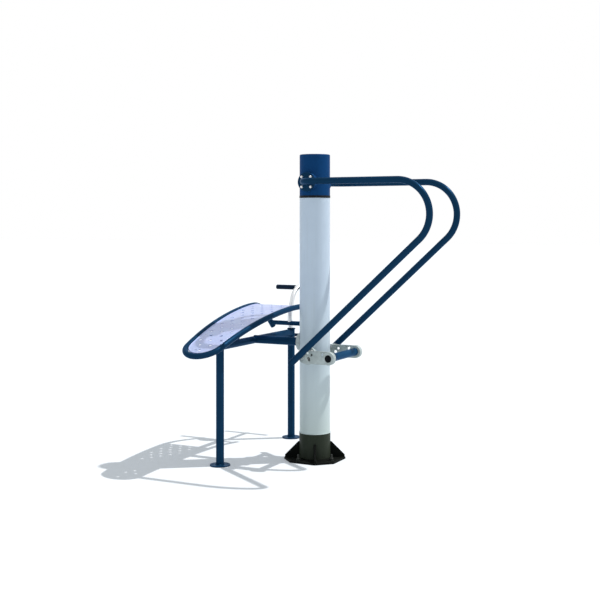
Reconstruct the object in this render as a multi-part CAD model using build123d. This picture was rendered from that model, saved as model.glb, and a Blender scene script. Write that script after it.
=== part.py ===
from build123d import *
from math import asin, atan2, cos, degrees, floor, hypot, radians, sin, tan
import os

os.makedirs("parts", exist_ok=True)

# Outdoor fitness station: a post with two parallel dip bars on one side and an
# arched sit-up bench beside it.  Millimetres, +Z up, origin on the post's axis at the floor,
# +X along the dip bars, +Y towards the ankle bar of the bench.

# --- Base and post ---
post_radius = 100
post_wall = 5
post_base_gap = 0.3
plate_margin = 80
plate_corner_length = 90
plate_thickness = 12
sleeve_wall = 2.5
sleeve_top = 176
gusset_top = 115
gusset_top_width = 6
gusset_span = 96
gusset_toe = 16
gusset_thickness = 10
anchor_stand_off = 50
anchor_turn = 45
anchor_count = 4
stud_radius = 8
stud_top = 52
stud_hole_clearance = 1
washer_radius = 15
washer_thickness = 3
nut_corner_radius = 13.9
nut_height = 13

# --- Head of the post ---
joint_ring_height = 15
joint_ring_proud = 1.5
bar_above_post = 102
head_above_bar = 162
spigot_clearance = 0.3
spigot_wall = 6
spigot_reach = 100
cap_height = 20.5
cap_edge_radius = 6
cap_plug_depth = 25
cap_plug_wall = 4

# --- Dip bars ---
bar_radius = 21.2
bar_wall = 3
bar_stand_off = 153.5
bar_height = 1815
bar_slope = 42.55
bar_foot_height = 694
bar_tail = 56
bar_grip_bend = 210
bar_elbow_bend = 110
bar_flange_radius = 62
bar_flange_thickness = 10
bar_flange_stand_off = 28
bolt_spread = 32.5
bolt_shank_radius = 5
bolt_head_radius = 8.5
bolt_head_height = 7
bolt_clearance = 0.5
bolt_past_wall = 4
end_plug_lip = 3
end_plug_depth = 18
end_plug_clearance = 0.2

# --- Lower brackets and rung ---
bracket_pad_radius = 59
bracket_pad_x = 3
bracket_pad_drop = 2
bracket_pad_stand_off = 12
neck_radius = 34
neck_end_half_width = 16
neck_end_half_height = 33
neck_end_x = 6
neck_sink = 4
cheek_stand_off = 88
cheek_thickness = 18
cheek_radius = 42
cheek_web = 6
cheek_rim = 7
hub_boss_radius = 33
clamp_boss_radius = 15
neck_boss_x = 24
cheek_start_x = 27
rung_stand_off = 101
rung_drop = 2
rung_radius = 25.5
rung_wall = 3
hub_length = 34
hub_pocket_radius = 23.5
hub_floor_thickness = 6
hub_edge_round = 3
seat_length = 50
seat_start = 5
seat_end = 62
seat_above = 21
seat_below = 27
round_hole_x = 77
round_hole_rise = 16
round_hole_radius = 8
oval_hole_x = 57
oval_hole_drop = 12
oval_hole_slant = 20
oval_hole_radius = 9.5
oval_hole_length = 30
upper_hole_x = 156
upper_hole_rise = 20
upper_hole_radius = 10.5
pad_screw_spread = 32.5
pad_screw_shank_radius = 4
pad_screw_head_radius = 7
pad_screw_head_height = 4.5
socket_radius = 3
socket_depth = 2.5
clamp_bolt_along = 36
clamp_bolt_shank_radius = 5
clamp_bolt_head_radius = 8
clamp_bolt_head_height = 6
clamp_bolt_reach = 8
rung_bolt_radius = 6
rung_bolt_head_radius = 10
rung_bolt_head_height = 8
rung_insert_length = 30
rung_insert_clearance = 0.1
hub_plug_thickness = 5
hub_plug_sink = 13
hub_plug_clearance = 0.3

# --- Bench frame ---
bench_x = -455
near_leg_y = -446
far_leg_y = 535
leg_radius = 25.5
leg_wall = 3
leg_flange_radius = 65
leg_flange_thickness = 8
leg_flange_circle_radius = 50
leg_flange_hole_radius = 5.5
leg_flange_hole_count = 4
far_leg_top = 785
leg_cap_radius = 27
leg_cap_thickness = 6
leg_cap_plug_depth = 16
leg_cap_clearance = 0.2
beam_radius = 25
beam_wall = 3
beam_z = 760
cross_beam_radius = 27.5
cross_beam_z = 764
beam_pad_radius = 59
beam_pad_stand_off = 13
beam_spigot_length = 40
beam_spigot_clearance = 0.3

# --- Bench rail and panel ---
rail_radius = 19
rail_wall = 2.5
rail_tip_y = -747
rail_tip_z = 732
rail_rise = 23.2
arch_tip_radius = 2700
arch_middle_radius = 3290
arch_crest_radius = 1537
arch_drop_radius = 200
side_tip_radius = 122.6
side_long_radius = 24600
side_end_radius = 800
# bend radius and final slope of each stretch of the bench's side view
arch_bends = ((arch_tip_radius, 16.2), (arch_middle_radius, 5.6), (arch_crest_radius, 0), (arch_drop_radius, -53))
# bend radius and final heading of each stretch of one side in plan
side_bends = ((side_tip_radius, 4.63), (side_long_radius, 2.5), (side_end_radius, -16))
side_steps = (5, 6, 4)
rail_plug_round = 6
panel_thickness = 3
panel_gap = 0.3
panel_rise = 6
panel_end_y = 335
panel_hole_radius = 11
panel_hole_pitch = 76
panel_row_pitch = 66
panel_hole_margin = 16
panel_first_row = -690
panel_last_row = 300
front_tube_radius = 16
rear_tube_radius = 16
rear_tube_y = 514
cross_tube_wall = 2

# --- Mast and ankle bar ---
mast_radius = 17
mast_wall = 2
mast_foot_y = 527
mast_knee_y = 508
mast_knee_z = 890
mast_crown_y = 573.5
mast_crown_z = 1053
mast_knee_bend = 220
mast_crown_bend = 150
mast_foot_sink = 8
mast_tip = 18
mast_plug_thickness = 4
ankle_y = 640
ankle_z = 1077
axle_radius = 10
axle_half_length = 169.5
roller_radius = 17
roller_clearance = 0.05
roller_half_start = 19.3
roller_half_end = 165
roller_edge_round = 1.5
roller_side_gap = 0.3
roller_washer_thickness = 2
roller_washer_radius = 14
roller_cap_length = 7
roller_cap_round = 5

# --- Foot bar ---
foot_bar_y = 796
foot_bar_z = 706
ankle_bar = (ankle_y, ankle_z)
foot_bar = (foot_bar_y, foot_bar_z)

bar_run = Vector(cos(radians(bar_slope)), 0, sin(radians(bar_slope)))
bar_below = Vector(sin(radians(bar_slope)), 0, -cos(radians(bar_slope)))
plate_top = plate_thickness
plate_half_width = post_radius + plate_margin
sleeve_radius = post_radius + sleeve_wall
gusset_reach = post_radius + gusset_span
anchor_circle_radius = post_radius + anchor_stand_off
post_top = bar_height - bar_above_post
head_base = post_top + joint_ring_height
head_top = bar_height + head_above_bar
bar_offset = post_radius + bar_stand_off
bar_flange_face = post_radius + bar_flange_stand_off
rung_x = post_radius + rung_stand_off
rung_z = bar_foot_height - rung_drop
bracket_pad_face = post_radius + bracket_pad_stand_off
bracket_pad_z = rung_z - bracket_pad_drop
cheek_inner = post_radius + cheek_stand_off
cheek_outer = cheek_inner + cheek_thickness
hub_face = cheek_inner + hub_length
hub_pocket_floor = cheek_inner + hub_floor_thickness
seat_face = cheek_inner + seat_length
beam_pad_face = post_radius + beam_pad_stand_off


# A round solid from one point to another.
def rod(radius, start, end):
    run = Vector(*end) - Vector(*start)
    return Solid.make_cylinder(radius, run.length, Plane(origin=start, z_dir=run))


# A straight pipe from one point to another.
def pipe(radius, wall, start, end):
    return rod(radius, start, end) - rod(radius - wall, start, end)


# A path of straight runs with a round bend at every inner point.
def bent_path(points, bends):
    points = [Vector(*point) for point in points]
    edges = []
    here = points[0]
    for corner, after, bend in zip(points[1:], points[2:], bends):
        inward = (corner - here).normalized()
        outward = (after - corner).normalized()
        turn = inward.get_angle(outward)
        trim = bend * tan(radians(turn) / 2)
        first = corner - inward * trim
        last = corner + outward * trim
        edges.append(Edge.make_line(here, first))
        edges.append(Edge.make_tangent_arc(first, inward, last))
        here = last
    edges.append(Edge.make_line(here, points[-1]))
    return Wire(edges)


# A pipe that follows a path, or a solid bar when no wall is given.
def pipe_along(path, radius, wall=None):
    start = Plane(origin=path @ 0, z_dir=path % 0)
    section = start * Circle(radius)
    if wall:
        section = section - start * Circle(radius - wall)
    return sweep(section, path=path)


# A hexagon-headed bolt whose head stands on a face and whose shank goes in.
def hex_bolt(place, head_radius, head_height, shank_radius, shank_length):
    head = extrude(RegularPolygon(head_radius, 6), head_height)
    shank = Pos(0, 0, -shank_length / 2) * Cylinder(shank_radius, shank_length)
    return place * (head + shank)


# A low round screw with a six-sided socket.
def socket_screw(place, head_radius, head_height, shank_radius, shank_length):
    head = Pos(0, 0, head_height / 2) * Cylinder(head_radius, head_height)
    head = fillet(head.edges().group_by(Axis.Z)[-1], head_height / 2)
    socket = Pos(0, 0, head_height - socket_depth) * extrude(RegularPolygon(socket_radius, 6), socket_depth)
    shank = Pos(0, 0, -shank_length / 2) * Cylinder(shank_radius, shank_length)
    return place * (head - socket + shank)


# The planes of four fasteners on a square, on a face that looks along the given direction.
def four_places(centre, facing, spread):
    face = Plane(origin=centre, z_dir=facing, x_dir=(0, 0, 1))
    corners = [(-spread, -spread), (-spread, spread), (spread, -spread), (spread, spread)]
    return [Plane(origin=face.from_local_coords((x, y, 0)), z_dir=facing) for x, y in corners]


# The shank of a fastener widened to its hole, running into the part behind its face.
def hole_at(place, radius, depth):
    return place * (Pos(0, 0, -depth / 2) * Cylinder(radius, depth))


# A list of solids as one group.
def group(solids):
    return Compound(children=[part.solid() if hasattr(part, "solid") else part for part in solids])


# Base plate: a square with its corners cut, drilled for the anchor studs.
def base_plate():
    blank = Box(2 * plate_half_width, 2 * plate_half_width, plate_thickness)
    upright = blank.edges().filter_by(Axis.Z)
    blank = Pos(0, 0, plate_thickness / 2) * chamfer(upright, plate_corner_length)
    for place in anchor_places(0):
        blank -= place * Cylinder(stud_radius + stud_hole_clearance, 2 * plate_thickness)
    return blank


# The direction of the first gusset, towards a corner of the plate.
def gusset_angle():
    return degrees(atan2(-plate_half_width, plate_half_width - plate_corner_length))


# The anchor studs stand between the gussets.
def anchor_places(height):
    first = gusset_angle() + anchor_turn
    angles = [first + 360 / anchor_count * k for k in range(anchor_count)]
    return [Rot(0, 0, angle) * Pos(anchor_circle_radius, 0, height) for angle in angles]


# Gussets: one upright web from the sleeve to every second corner of the plate.
def base_gussets():
    outline = [
        (post_radius - post_wall, plate_top),
        (post_radius - post_wall, gusset_top),
        (sleeve_radius + gusset_top_width, gusset_top),
        (gusset_reach, plate_top + gusset_toe),
        (gusset_reach, plate_top),
    ]
    web = extrude(Plane.XZ * make_face(Polyline(outline, close=True)), gusset_thickness / 2, both=True)
    web -= rod(sleeve_radius, (0, 0, 0), (0, 0, sleeve_top))
    return group([Rot(0, 0, gusset_angle() + 360 / anchor_count * k) * web for k in range(anchor_count)])


# Base sleeve: a short black tube round the foot of the post.
def base_sleeve():
    return pipe(sleeve_radius, sleeve_wall, (0, 0, plate_top), (0, 0, sleeve_top))


# Anchor studs, washers and nuts.
def anchor_studs():
    stud = Cylinder(stud_radius, stud_top)
    return group([place * stud for place in anchor_places(stud_top / 2)])


def anchor_washers():
    washer = Cylinder(washer_radius, washer_thickness) - Cylinder(stud_radius, washer_thickness)
    return group([place * washer for place in anchor_places(plate_top + washer_thickness / 2)])


def anchor_nuts():
    nut = extrude(RegularPolygon(nut_corner_radius, 6) - Circle(stud_radius), nut_height)
    return group([place * nut for place in anchor_places(plate_top + washer_thickness)])


# Post tube with the screw holes of the brackets and of the beam saddle.
def post_tube():
    tube = pipe(post_radius, post_wall, (0, 0, plate_top), (0, 0, post_top))
    for place in bracket_pad_places() + beam_pad_places():
        tube -= hole_at(place, pad_screw_shank_radius + bolt_clearance, post_radius)
    return tube


# Inner sleeve that joins the post and the head tube.
def inner_spigot():
    radius = post_radius - post_wall - spigot_clearance
    return pipe(radius, spigot_wall, (0, 0, post_top - spigot_reach), (0, 0, head_base + bar_seat_room()))


# Free height of the spigot in the head, kept below the saddle bolts.
def bar_seat_room():
    return bar_height - head_base - bolt_spread - 2 * bolt_head_radius


# Dark ring between the post and the head tube.
def joint_ring():
    outer = post_radius + joint_ring_proud
    inner = post_radius - post_wall
    return pipe(outer, outer - inner, (0, 0, post_top), (0, 0, head_base))


# Head tube that carries the two dip bars.
def head_tube():
    tube = pipe(post_radius, post_wall, (0, 0, head_base), (0, 0, head_top))
    for side in (-1, 1):
        for place in upper_bolt_places(side):
            tube -= hole_at(place, bolt_shank_radius + bolt_clearance, post_radius)
    return tube


# Top cap with a rounded edge and a plug that sits in the head tube.
def top_cap():
    lid = rod(post_radius, (0, 0, head_top), (0, 0, head_top + cap_height))
    lid = fillet(lid.edges().group_by(Axis.Z)[-1], cap_edge_radius)
    radius = post_radius - post_wall - spigot_clearance
    return lid + pipe(radius, cap_plug_wall, (0, 0, head_top - cap_plug_depth), (0, 0, head_top))


# The four bolts of one dip bar's flange.
def upper_bolt_places(side):
    return four_places((0, side * bar_flange_face, bar_height), (0, side, 0), bolt_spread)


# Where the grip run and the sloping run of a dip bar would meet.
def bar_corner_x():
    return (bar_height - bar_foot_height) / tan(radians(bar_slope))


# Dip bar: out from the flange, along the grip, round the front bend and down to the bracket.
def dip_bar(side):
    foot = Vector(0, side * bar_offset, bar_foot_height)
    points = [
        (0, side * (bar_flange_face - bar_flange_thickness), bar_height),
        (0, side * bar_offset, bar_height),
        (bar_corner_x(), side * bar_offset, bar_height),
        tuple(foot - bar_run * bar_tail),
    ]
    path = bent_path(points, (bar_elbow_bend, bar_grip_bend))
    inner = side * (bar_flange_face - bar_flange_thickness)
    flange = rod(bar_flange_radius, (0, inner, bar_height), (0, side * bar_flange_face, bar_height))
    bore = pipe_along(path, bar_radius - bar_wall)
    bar = flange + pipe_along(path, bar_radius) - bore
    for place in upper_bolt_places(side):
        bar -= hole_at(place, bolt_shank_radius + bolt_clearance, 2 * bar_flange_thickness)
    return bar - hole_at(clamp_bolt_place(side), clamp_bolt_shank_radius + bolt_clearance, clamp_depth())


# Upper saddle: a round pad that fits the flat flange to the round head tube.
def upper_saddle(side):
    face = side * (bar_flange_face - bar_flange_thickness)
    pad = rod(bar_flange_radius, (0, 0, bar_height), (0, face, bar_height))
    pad -= rod(post_radius, (0, 0, head_base), (0, 0, head_top))
    for place in upper_bolt_places(side):
        pad -= hole_at(place, bolt_shank_radius + bolt_clearance, post_radius)
    return pad


# Bright bolts of the two flanges.
def upper_bolts():
    length = bar_flange_face - post_radius + post_wall + bolt_spread / 2
    bolts = []
    for side in (-1, 1):
        for place in upper_bolt_places(side):
            bolts.append(hex_bolt(place, bolt_head_radius, bolt_head_height, bolt_shank_radius, length))
    return group(bolts)


# Plugs that close the lower ends of the dip bars.
def bar_end_plugs():
    plugs = []
    for side in (-1, 1):
        end = Vector(0, side * bar_offset, bar_foot_height) - bar_run * bar_tail
        lip = rod(bar_radius, tuple(end - bar_run * end_plug_lip), tuple(end))
        inner = bar_radius - bar_wall - end_plug_clearance
        plugs.append(lip + rod(inner, tuple(end), tuple(end + bar_run * end_plug_depth)))
    return group(plugs)


# The screws that hold a bracket's round pad to the post.
def bracket_pad_places():
    places = []
    for side in (-1, 1):
        centre = (bracket_pad_x, side * bracket_pad_face, bracket_pad_z)
        places += four_places(centre, (0, side, 0), pad_screw_spread)
    return places


# The bolt that goes from the bracket's inner face into a dip bar.
def clamp_bolt_place(side):
    spot = Vector(0, side * cheek_inner, bar_foot_height) + bar_run * clamp_bolt_along
    return Plane(origin=tuple(spot), z_dir=(0, -side, 0))


def clamp_depth():
    return bar_offset - bar_radius - cheek_inner + bar_wall + clamp_bolt_reach


# The block between the cheek and a dip bar, square to the bar and inside the cheek's outline.
def bar_seat():
    corners = [
        (seat_start, -seat_above),
        (seat_end, -seat_above),
        (seat_end, seat_below),
        (seat_start, seat_below),
    ]
    level = Vector(0, -cheek_inner, bar_foot_height)
    points = [level + bar_run * along + bar_below * below for along, below in corners]
    face = make_face(Polyline(*[tuple(point) for point in points], close=True))
    block = extrude(face, seat_face - cheek_inner, dir=(0, -1, 0))
    return block & near_slab(cheek_outline(cheek_radius), cheek_inner, seat_face)


# A solid from an outline in the X-Z plane, between two distances on the near side.
def near_slab(outline, inner, outer):
    return extrude(Plane(origin=(0, -inner, 0), z_dir=(0, -1, 0), x_dir=(1, 0, 0)) * outline, outer - inner)


# Lower bracket: round pad on the post, neck, dished cheek, hub of the rung and seat of the bar.
def near_bracket():
    pad_axis = (bracket_pad_x, -bracket_pad_face, bracket_pad_z)
    pad = rod(bracket_pad_radius, (bracket_pad_x, 0, bracket_pad_z), pad_axis)
    neck_start = Plane(origin=(bracket_pad_x, neck_sink - bracket_pad_face, bracket_pad_z), z_dir=(0, -1, 0))
    neck_end = Plane(origin=(neck_end_x, -cheek_inner - neck_sink, rung_z), z_dir=(0, -1, 0), x_dir=(1, 0, 0))
    neck = loft([neck_start * Circle(neck_radius), neck_end * Ellipse(neck_end_half_width, neck_end_half_height)])
    cheek = near_slab(cheek_outline(cheek_radius), cheek_inner, cheek_outer)
    cheek -= near_slab(cheek_dish(), cheek_inner, cheek_outer - cheek_web)
    hub = rod(cheek_radius, (rung_x, -cheek_inner, rung_z), (rung_x, -hub_face, rung_z))
    hub = fillet(hub.edges().group_by(Axis.Y)[0], hub_edge_round)
    body = pad + neck + cheek + hub + bar_seat()
    body -= rod(post_radius, (0, 0, plate_top), (0, 0, post_top))
    body -= near_slab(cheek_holes(), cheek_inner, seat_face)
    return body - near_bracket_bores()


# The cheek seen from the side: a bar with round ends.
def cheek_outline(radius):
    length = rung_x - cheek_start_x
    middle = (rung_x + cheek_start_x) / 2
    return Pos(middle, rung_z) * SlotCenterToCenter(length, 2 * radius)


# The hollow in the cheek's inner face, inside its rim and round the bosses of hub, bolt and neck.
def cheek_dish():
    bolt = clamp_bolt_place(-1).origin
    dish = cheek_outline(cheek_radius - cheek_rim)
    dish -= Pos(rung_x, rung_z) * Circle(hub_boss_radius)
    dish -= Pos(bolt.X, bolt.Z) * Circle(clamp_boss_radius)
    behind_neck = 2 * cheek_radius
    return dish - Pos(neck_boss_x - behind_neck / 2, rung_z) * Rectangle(behind_neck, behind_neck)


# The open holes of the cheek.
def cheek_holes():
    holes = Pos(round_hole_x, rung_z + round_hole_rise) * Circle(round_hole_radius)
    tall = SlotOverall(oval_hole_length, 2 * oval_hole_radius)
    holes += Pos(oval_hole_x, rung_z - oval_hole_drop) * Rot(0, 0, 90 + oval_hole_slant) * tall
    return holes + Pos(upper_hole_x, rung_z + upper_hole_rise) * Circle(upper_hole_radius)


# Hub pocket, rung bolt hole, groove of the bar, screw and bolt holes.
def near_bracket_bores():
    bores = rod(hub_pocket_radius, (rung_x, -hub_pocket_floor, rung_z), (rung_x, -2 * hub_face, rung_z))
    hole = rung_bolt_radius + bolt_clearance
    bores += rod(hole, (rung_x, 0, rung_z), (rung_x, -hub_face, rung_z))
    foot = Vector(0, -bar_offset, bar_foot_height)
    bores += rod(bar_radius, tuple(foot - bar_run * bar_tail), tuple(foot + bar_run * 2 * seat_end))
    bores += hole_at(clamp_bolt_place(-1), clamp_bolt_shank_radius + bolt_clearance, clamp_depth())
    centre = (bracket_pad_x, -bracket_pad_face, bracket_pad_z)
    for place in four_places(centre, (0, -1, 0), pad_screw_spread):
        bores += hole_at(place, pad_screw_shank_radius + bolt_clearance, post_radius)
    return bores


def lower_bracket(side):
    bracket = near_bracket()
    return bracket if side < 0 else mirror(bracket, about=Plane.XZ)


# Screws of the two lower brackets.
def bracket_screws():
    length = bracket_pad_face - post_radius + pad_screw_spread
    sizes = (pad_screw_head_radius, pad_screw_head_height, pad_screw_shank_radius, length)
    return group([socket_screw(place, *sizes) for place in bracket_pad_places()])


# Bolts that draw the dip bars into their seats.
def bar_clamp_bolts():
    bolts = []
    sizes = (clamp_bolt_head_radius, clamp_bolt_head_height, clamp_bolt_shank_radius, clamp_depth())
    for side in (-1, 1):
        bolts.append(hex_bolt(clamp_bolt_place(side), *sizes))
    return group(bolts)


# Rung between the two brackets, with a threaded insert and a bolt in each end.
def rung_tube():
    return pipe(rung_radius, rung_wall, (rung_x, -cheek_inner, rung_z), (rung_x, cheek_inner, rung_z))


def rung_inserts():
    inserts = []
    for side in (-1, 1):
        outer = (rung_x, side * cheek_inner, rung_z)
        inner = (rung_x, side * (cheek_inner - rung_insert_length), rung_z)
        core = rod(rung_radius - rung_wall - rung_insert_clearance, inner, outer)
        inserts.append(core - rod(rung_bolt_radius, inner, outer))
    return group(inserts)


def rung_bolts():
    bolts = []
    length = hub_pocket_floor - cheek_inner + rung_insert_length
    for side in (-1, 1):
        place = Plane(origin=(rung_x, side * hub_pocket_floor, rung_z), z_dir=(0, side, 0))
        sizes = (rung_bolt_head_radius, rung_bolt_head_height, rung_bolt_radius, length)
        bolts.append(hex_bolt(place, *sizes))
    return group(bolts)


# Black plugs that cover the rung bolts.
def hub_plugs():
    plugs = []
    for side in (-1, 1):
        outer = (rung_x, side * (hub_face - hub_plug_sink), rung_z)
        inner = (rung_x, side * (hub_face - hub_plug_sink - hub_plug_thickness), rung_z)
        plugs.append(rod(hub_pocket_radius - hub_plug_clearance, inner, outer))
    return group(plugs)


# Bench leg and its round floor flange.
def near_leg():
    top = front_tube_z()
    leg = pipe(leg_radius, leg_wall, (bench_x, near_leg_y, leg_flange_thickness), (bench_x, near_leg_y, top))
    return leg - front_tube_core()


def far_leg():
    foot = (bench_x, far_leg_y, leg_flange_thickness)
    return pipe(leg_radius, leg_wall, foot, (bench_x, far_leg_y, far_leg_top))


def leg_flange(leg_y):
    disc = rod(leg_flange_radius, (bench_x, leg_y, 0), (bench_x, leg_y, leg_flange_thickness))
    for k in range(leg_flange_hole_count):
        turn = Pos(bench_x, leg_y, 0) * Rot(0, 0, 360 / leg_flange_hole_count * (k + 1 / 2))
        disc -= turn * Pos(leg_flange_circle_radius, 0, 0) * Cylinder(leg_flange_hole_radius, 3 * leg_flange_thickness)
    return disc


# Cap of the far leg, which carries the mast.
def leg_top_cap():
    top = (bench_x, far_leg_y, far_leg_top + leg_cap_thickness)
    lip = rod(leg_cap_radius, (bench_x, far_leg_y, far_leg_top), top)
    plug_radius = leg_radius - leg_wall - leg_cap_clearance
    bottom = (bench_x, far_leg_y, far_leg_top - leg_cap_plug_depth)
    return lip + rod(plug_radius, bottom, (bench_x, far_leg_y, far_leg_top))


# Long beam from leg to leg, with its ends shaped to the legs.
def bench_beam():
    beam = pipe(beam_radius, beam_wall, (bench_x, near_leg_y, beam_z), (bench_x, far_leg_y, beam_z))
    for leg_y in (near_leg_y, far_leg_y):
        beam -= rod(leg_radius, (bench_x, leg_y, 0), (bench_x, leg_y, 2 * beam_z))
    return beam


# Cross beam from the long beam to the saddle on the post.
def cross_beam():
    beam = pipe(cross_beam_radius, beam_wall, (bench_x, 0, cross_beam_z), (-beam_pad_face, 0, cross_beam_z))
    return beam - rod(beam_radius, (bench_x, near_leg_y, beam_z), (bench_x, far_leg_y, beam_z))


def beam_pad_places():
    return four_places((-beam_pad_face, 0, cross_beam_z), (-1, 0, 0), pad_screw_spread)


# Saddle of the cross beam: a round pad on the post with a spigot inside the beam.
def beam_saddle():
    face = (-beam_pad_face, 0, cross_beam_z)
    pad = rod(beam_pad_radius, (0, 0, cross_beam_z), face)
    spigot_end = (-beam_pad_face - beam_spigot_length, 0, cross_beam_z)
    pad += rod(cross_beam_radius - beam_wall - beam_spigot_clearance, face, spigot_end)
    pad -= rod(post_radius, (0, 0, plate_top), (0, 0, post_top))
    for place in beam_pad_places():
        pad -= hole_at(place, pad_screw_shank_radius + bolt_clearance, post_radius)
    return pad


def beam_saddle_screws():
    length = beam_pad_face - post_radius + pad_screw_spread
    sizes = (pad_screw_head_radius, pad_screw_head_height, pad_screw_shank_radius, length)
    return group([socket_screw(place, *sizes) for place in beam_pad_places()])


# The arcs of a line that bends one way: centre, radius, first and last heading of each.
# Headings are in degrees from +Y, towards the second axis of the view.
def arc_chain(start_y, start_height, heading, bends, offset=0):
    y = start_y - offset * sin(radians(heading))
    height = start_height + offset * cos(radians(heading))
    arcs = []
    for radius, last in bends:
        reach = radius + offset
        centre_y = y + reach * sin(radians(heading))
        centre_height = height - reach * cos(radians(heading))
        arcs.append((centre_y, centre_height, reach, heading, last))
        y = centre_y - reach * sin(radians(last))
        height = centre_height + reach * cos(radians(last))
        heading = last
    return arcs


# A point of an arc where the line has the given heading.
def on_arc(arc, heading):
    centre_y, centre_height, radius, first, last = arc
    turn = radians(heading)
    return centre_y - radius * sin(turn), centre_height + radius * cos(turn)


def arch_arcs(offset=0):
    return arc_chain(rail_tip_y, rail_tip_z, rail_rise, arch_bends, offset)


def side_arcs(offset=0):
    return arc_chain(rail_tip_y, 0, 90, side_bends, offset)


# Height and slope of the bench above a place along its length.
def arch_at(y):
    arcs = arch_arcs()
    for arc in arcs:
        centre_y, centre_height, radius, first, last = arc
        if y <= on_arc(arc, last)[0]:
            slope = asin((centre_y - y) / radius)
            return centre_height + radius * cos(slope), degrees(slope)
    end_y, end_height = on_arc(arcs[-1], arch_bends[-1][1])
    slope = arch_bends[-1][1]
    return end_height + (y - end_y) * tan(radians(slope)), slope


# Half width of the bench, to the rail's middle, at a place along its length.
def half_width(y):
    for arc in side_arcs():
        centre_y, centre_width, radius, first, last = arc
        if y <= on_arc(arc, last)[0]:
            return centre_width + radius * cos(asin((centre_y - y) / radius))
    return on_arc(arc, last)[1]


# Points and directions of the rail, from its left end round the tip to its right end.
def rail_stations():
    right = []
    for arc, steps in zip(side_arcs(), side_steps):
        first, last = arc[3], arc[4]
        for step in range(steps):
            right.append((arc, first + (last - first) * step / steps))
    right.append((side_arcs()[-1], side_bends[-1][1]))
    stations = []
    for side, run in ((-1, right[:0:-1]), (1, right)):
        for arc, heading in run:
            y, width = on_arc(arc, heading)
            z, slope = arch_at(y)
            along = cos(radians(heading))
            direction = Vector(sin(radians(heading)), side * along, side * along * tan(radians(slope)))
            stations.append((Vector(bench_x + side * width, y, z), direction.normalized()))
    return stations


# Two arcs that join two points and keep the direction at both.
def two_arcs(start, start_run, end, end_run):
    gap = end - start
    both = start_run + end_run
    spread = 2 * (1 - start_run.dot(end_run))
    lean = 2 * gap.dot(both)
    reach = (-lean + (lean * lean + 4 * spread * gap.dot(gap)) ** (1 / 2)) / (2 * spread)
    first_aim = start + start_run * reach
    last_aim = end - end_run * reach
    middle = (first_aim + last_aim) * (1 / 2)
    return [
        Edge.make_tangent_arc(start, start_run, middle),
        Edge.make_tangent_arc(middle, (last_aim - first_aim).normalized(), end),
    ]


def rail_path():
    stations = rail_stations()
    edges = []
    for (start, start_run), (end, end_run) in zip(stations, stations[1:]):
        edges += two_arcs(start, start_run, end, end_run)
    return Wire(edges)


# Bench rail: one tube bent round the tip, open at the ankle end.
def bench_rail():
    return pipe_along(rail_path(), rail_radius, rail_wall)


def rail_core():
    return pipe_along(rail_path(), rail_radius)


# Round-edged plugs in the two rail ends.
def rail_end_plugs():
    plugs = []
    stations = rail_stations()
    for spot, run in ((stations[0][0], -stations[0][1]), (stations[-1][0], stations[-1][1])):
        place = Plane(origin=tuple(spot), z_dir=run)
        lip = Pos(0, 0, rail_plug_round / 2) * Cylinder(rail_radius, rail_plug_round)
        lip = fillet(lip.edges().group_by(Axis.Z)[-1], rail_plug_round * 0.9)
        core = rail_radius - rail_wall - end_plug_clearance
        plug = lip + Pos(0, 0, -end_plug_depth / 2) * Cylinder(core, end_plug_depth)
        plugs.append(place * plug)
    return group(plugs)


# The bench's side view as a closed band, extruded across the bench.
def arch_band():
    sides = []
    for offset in (panel_rise + panel_thickness / 2, panel_rise - panel_thickness / 2):
        edges = []
        for arc in arch_arcs(offset):
            first, last = arc[3], arc[4]
            spots = [on_arc(arc, h) for h in (first, (first + last) / 2, last)]
            edges.append(Edge.make_three_point_arc(*[(0, y, z) for y, z in spots]))
        sides.append(edges)
    upper, lower = sides
    closing = [Edge.make_line(upper[0] @ 0, lower[0] @ 0), Edge.make_line(upper[-1] @ 1, lower[-1] @ 1)]
    face = Face(Wire(upper + lower + closing))
    widest = max(arc[1] + arc[2] for arc in side_arcs()[1:])
    return extrude(Pos(bench_x, 0, 0) * face, widest, dir=(1, 0, 0), both=True)


# The inside of the rail at the sheet's underside, up to the panel's end, as an upright block.
def panel_plan():
    touch = (rail_radius**2 - (panel_rise - panel_thickness / 2) ** 2) ** (1 / 2)
    arcs = side_arcs(-touch - panel_gap)
    right = []
    left = []
    for arc in arcs:
        first, last = arc[3], arc[4]
        spots = [on_arc(arc, h) for h in (first, (first + last) / 2, last)]
        right.append(Edge.make_three_point_arc(*[(bench_x + x, y, 0) for y, x in spots]))
        left.append(Edge.make_three_point_arc(*[(bench_x - x, y, 0) for y, x in spots]))
    closing = Edge.make_line(right[-1] @ 1, left[-1] @ 1)
    block = extrude(Face(Wire(right + left + [closing])), 2 * rail_tip_z, dir=(0, 0, 1))
    length = panel_end_y - rail_tip_y
    return block & Pos(bench_x, rail_tip_y + length / 2, 0) * Box(length, length, 2 * length)


# Places of the panel's holes, in staggered rows that keep clear of the rail.
def panel_hole_places():
    places = []
    rows = floor((panel_last_row - panel_first_row) / panel_row_pitch)
    for row in range(rows + 1):
        y = panel_first_row + row * panel_row_pitch
        room = half_width(y) - rail_radius - panel_hole_radius - panel_hole_margin
        shift = panel_hole_pitch / 2 * (row % 2)
        count = floor((room - shift) / panel_hole_pitch)
        for k in range(-count - row % 2, count + 1):
            places.append((bench_x + shift + k * panel_hole_pitch, y))
    return places


# Bench panel: an arched sheet with round holes, inside the rail and ending past the crest.
def bench_panel():
    sheet = arch_band() & panel_plan()
    for x, y in panel_hole_places():
        z = arch_at(y)[0]
        sheet -= rod(panel_hole_radius, (x, y, z - panel_hole_pitch), (x, y, z + panel_hole_pitch))
    return sheet


# Height of the front cross tube, which lies close under the panel.
def front_tube_z():
    z, slope = arch_at(near_leg_y)
    return z - (front_tube_radius + panel_thickness / 2 + panel_gap - panel_rise) / cos(radians(slope))


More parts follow.
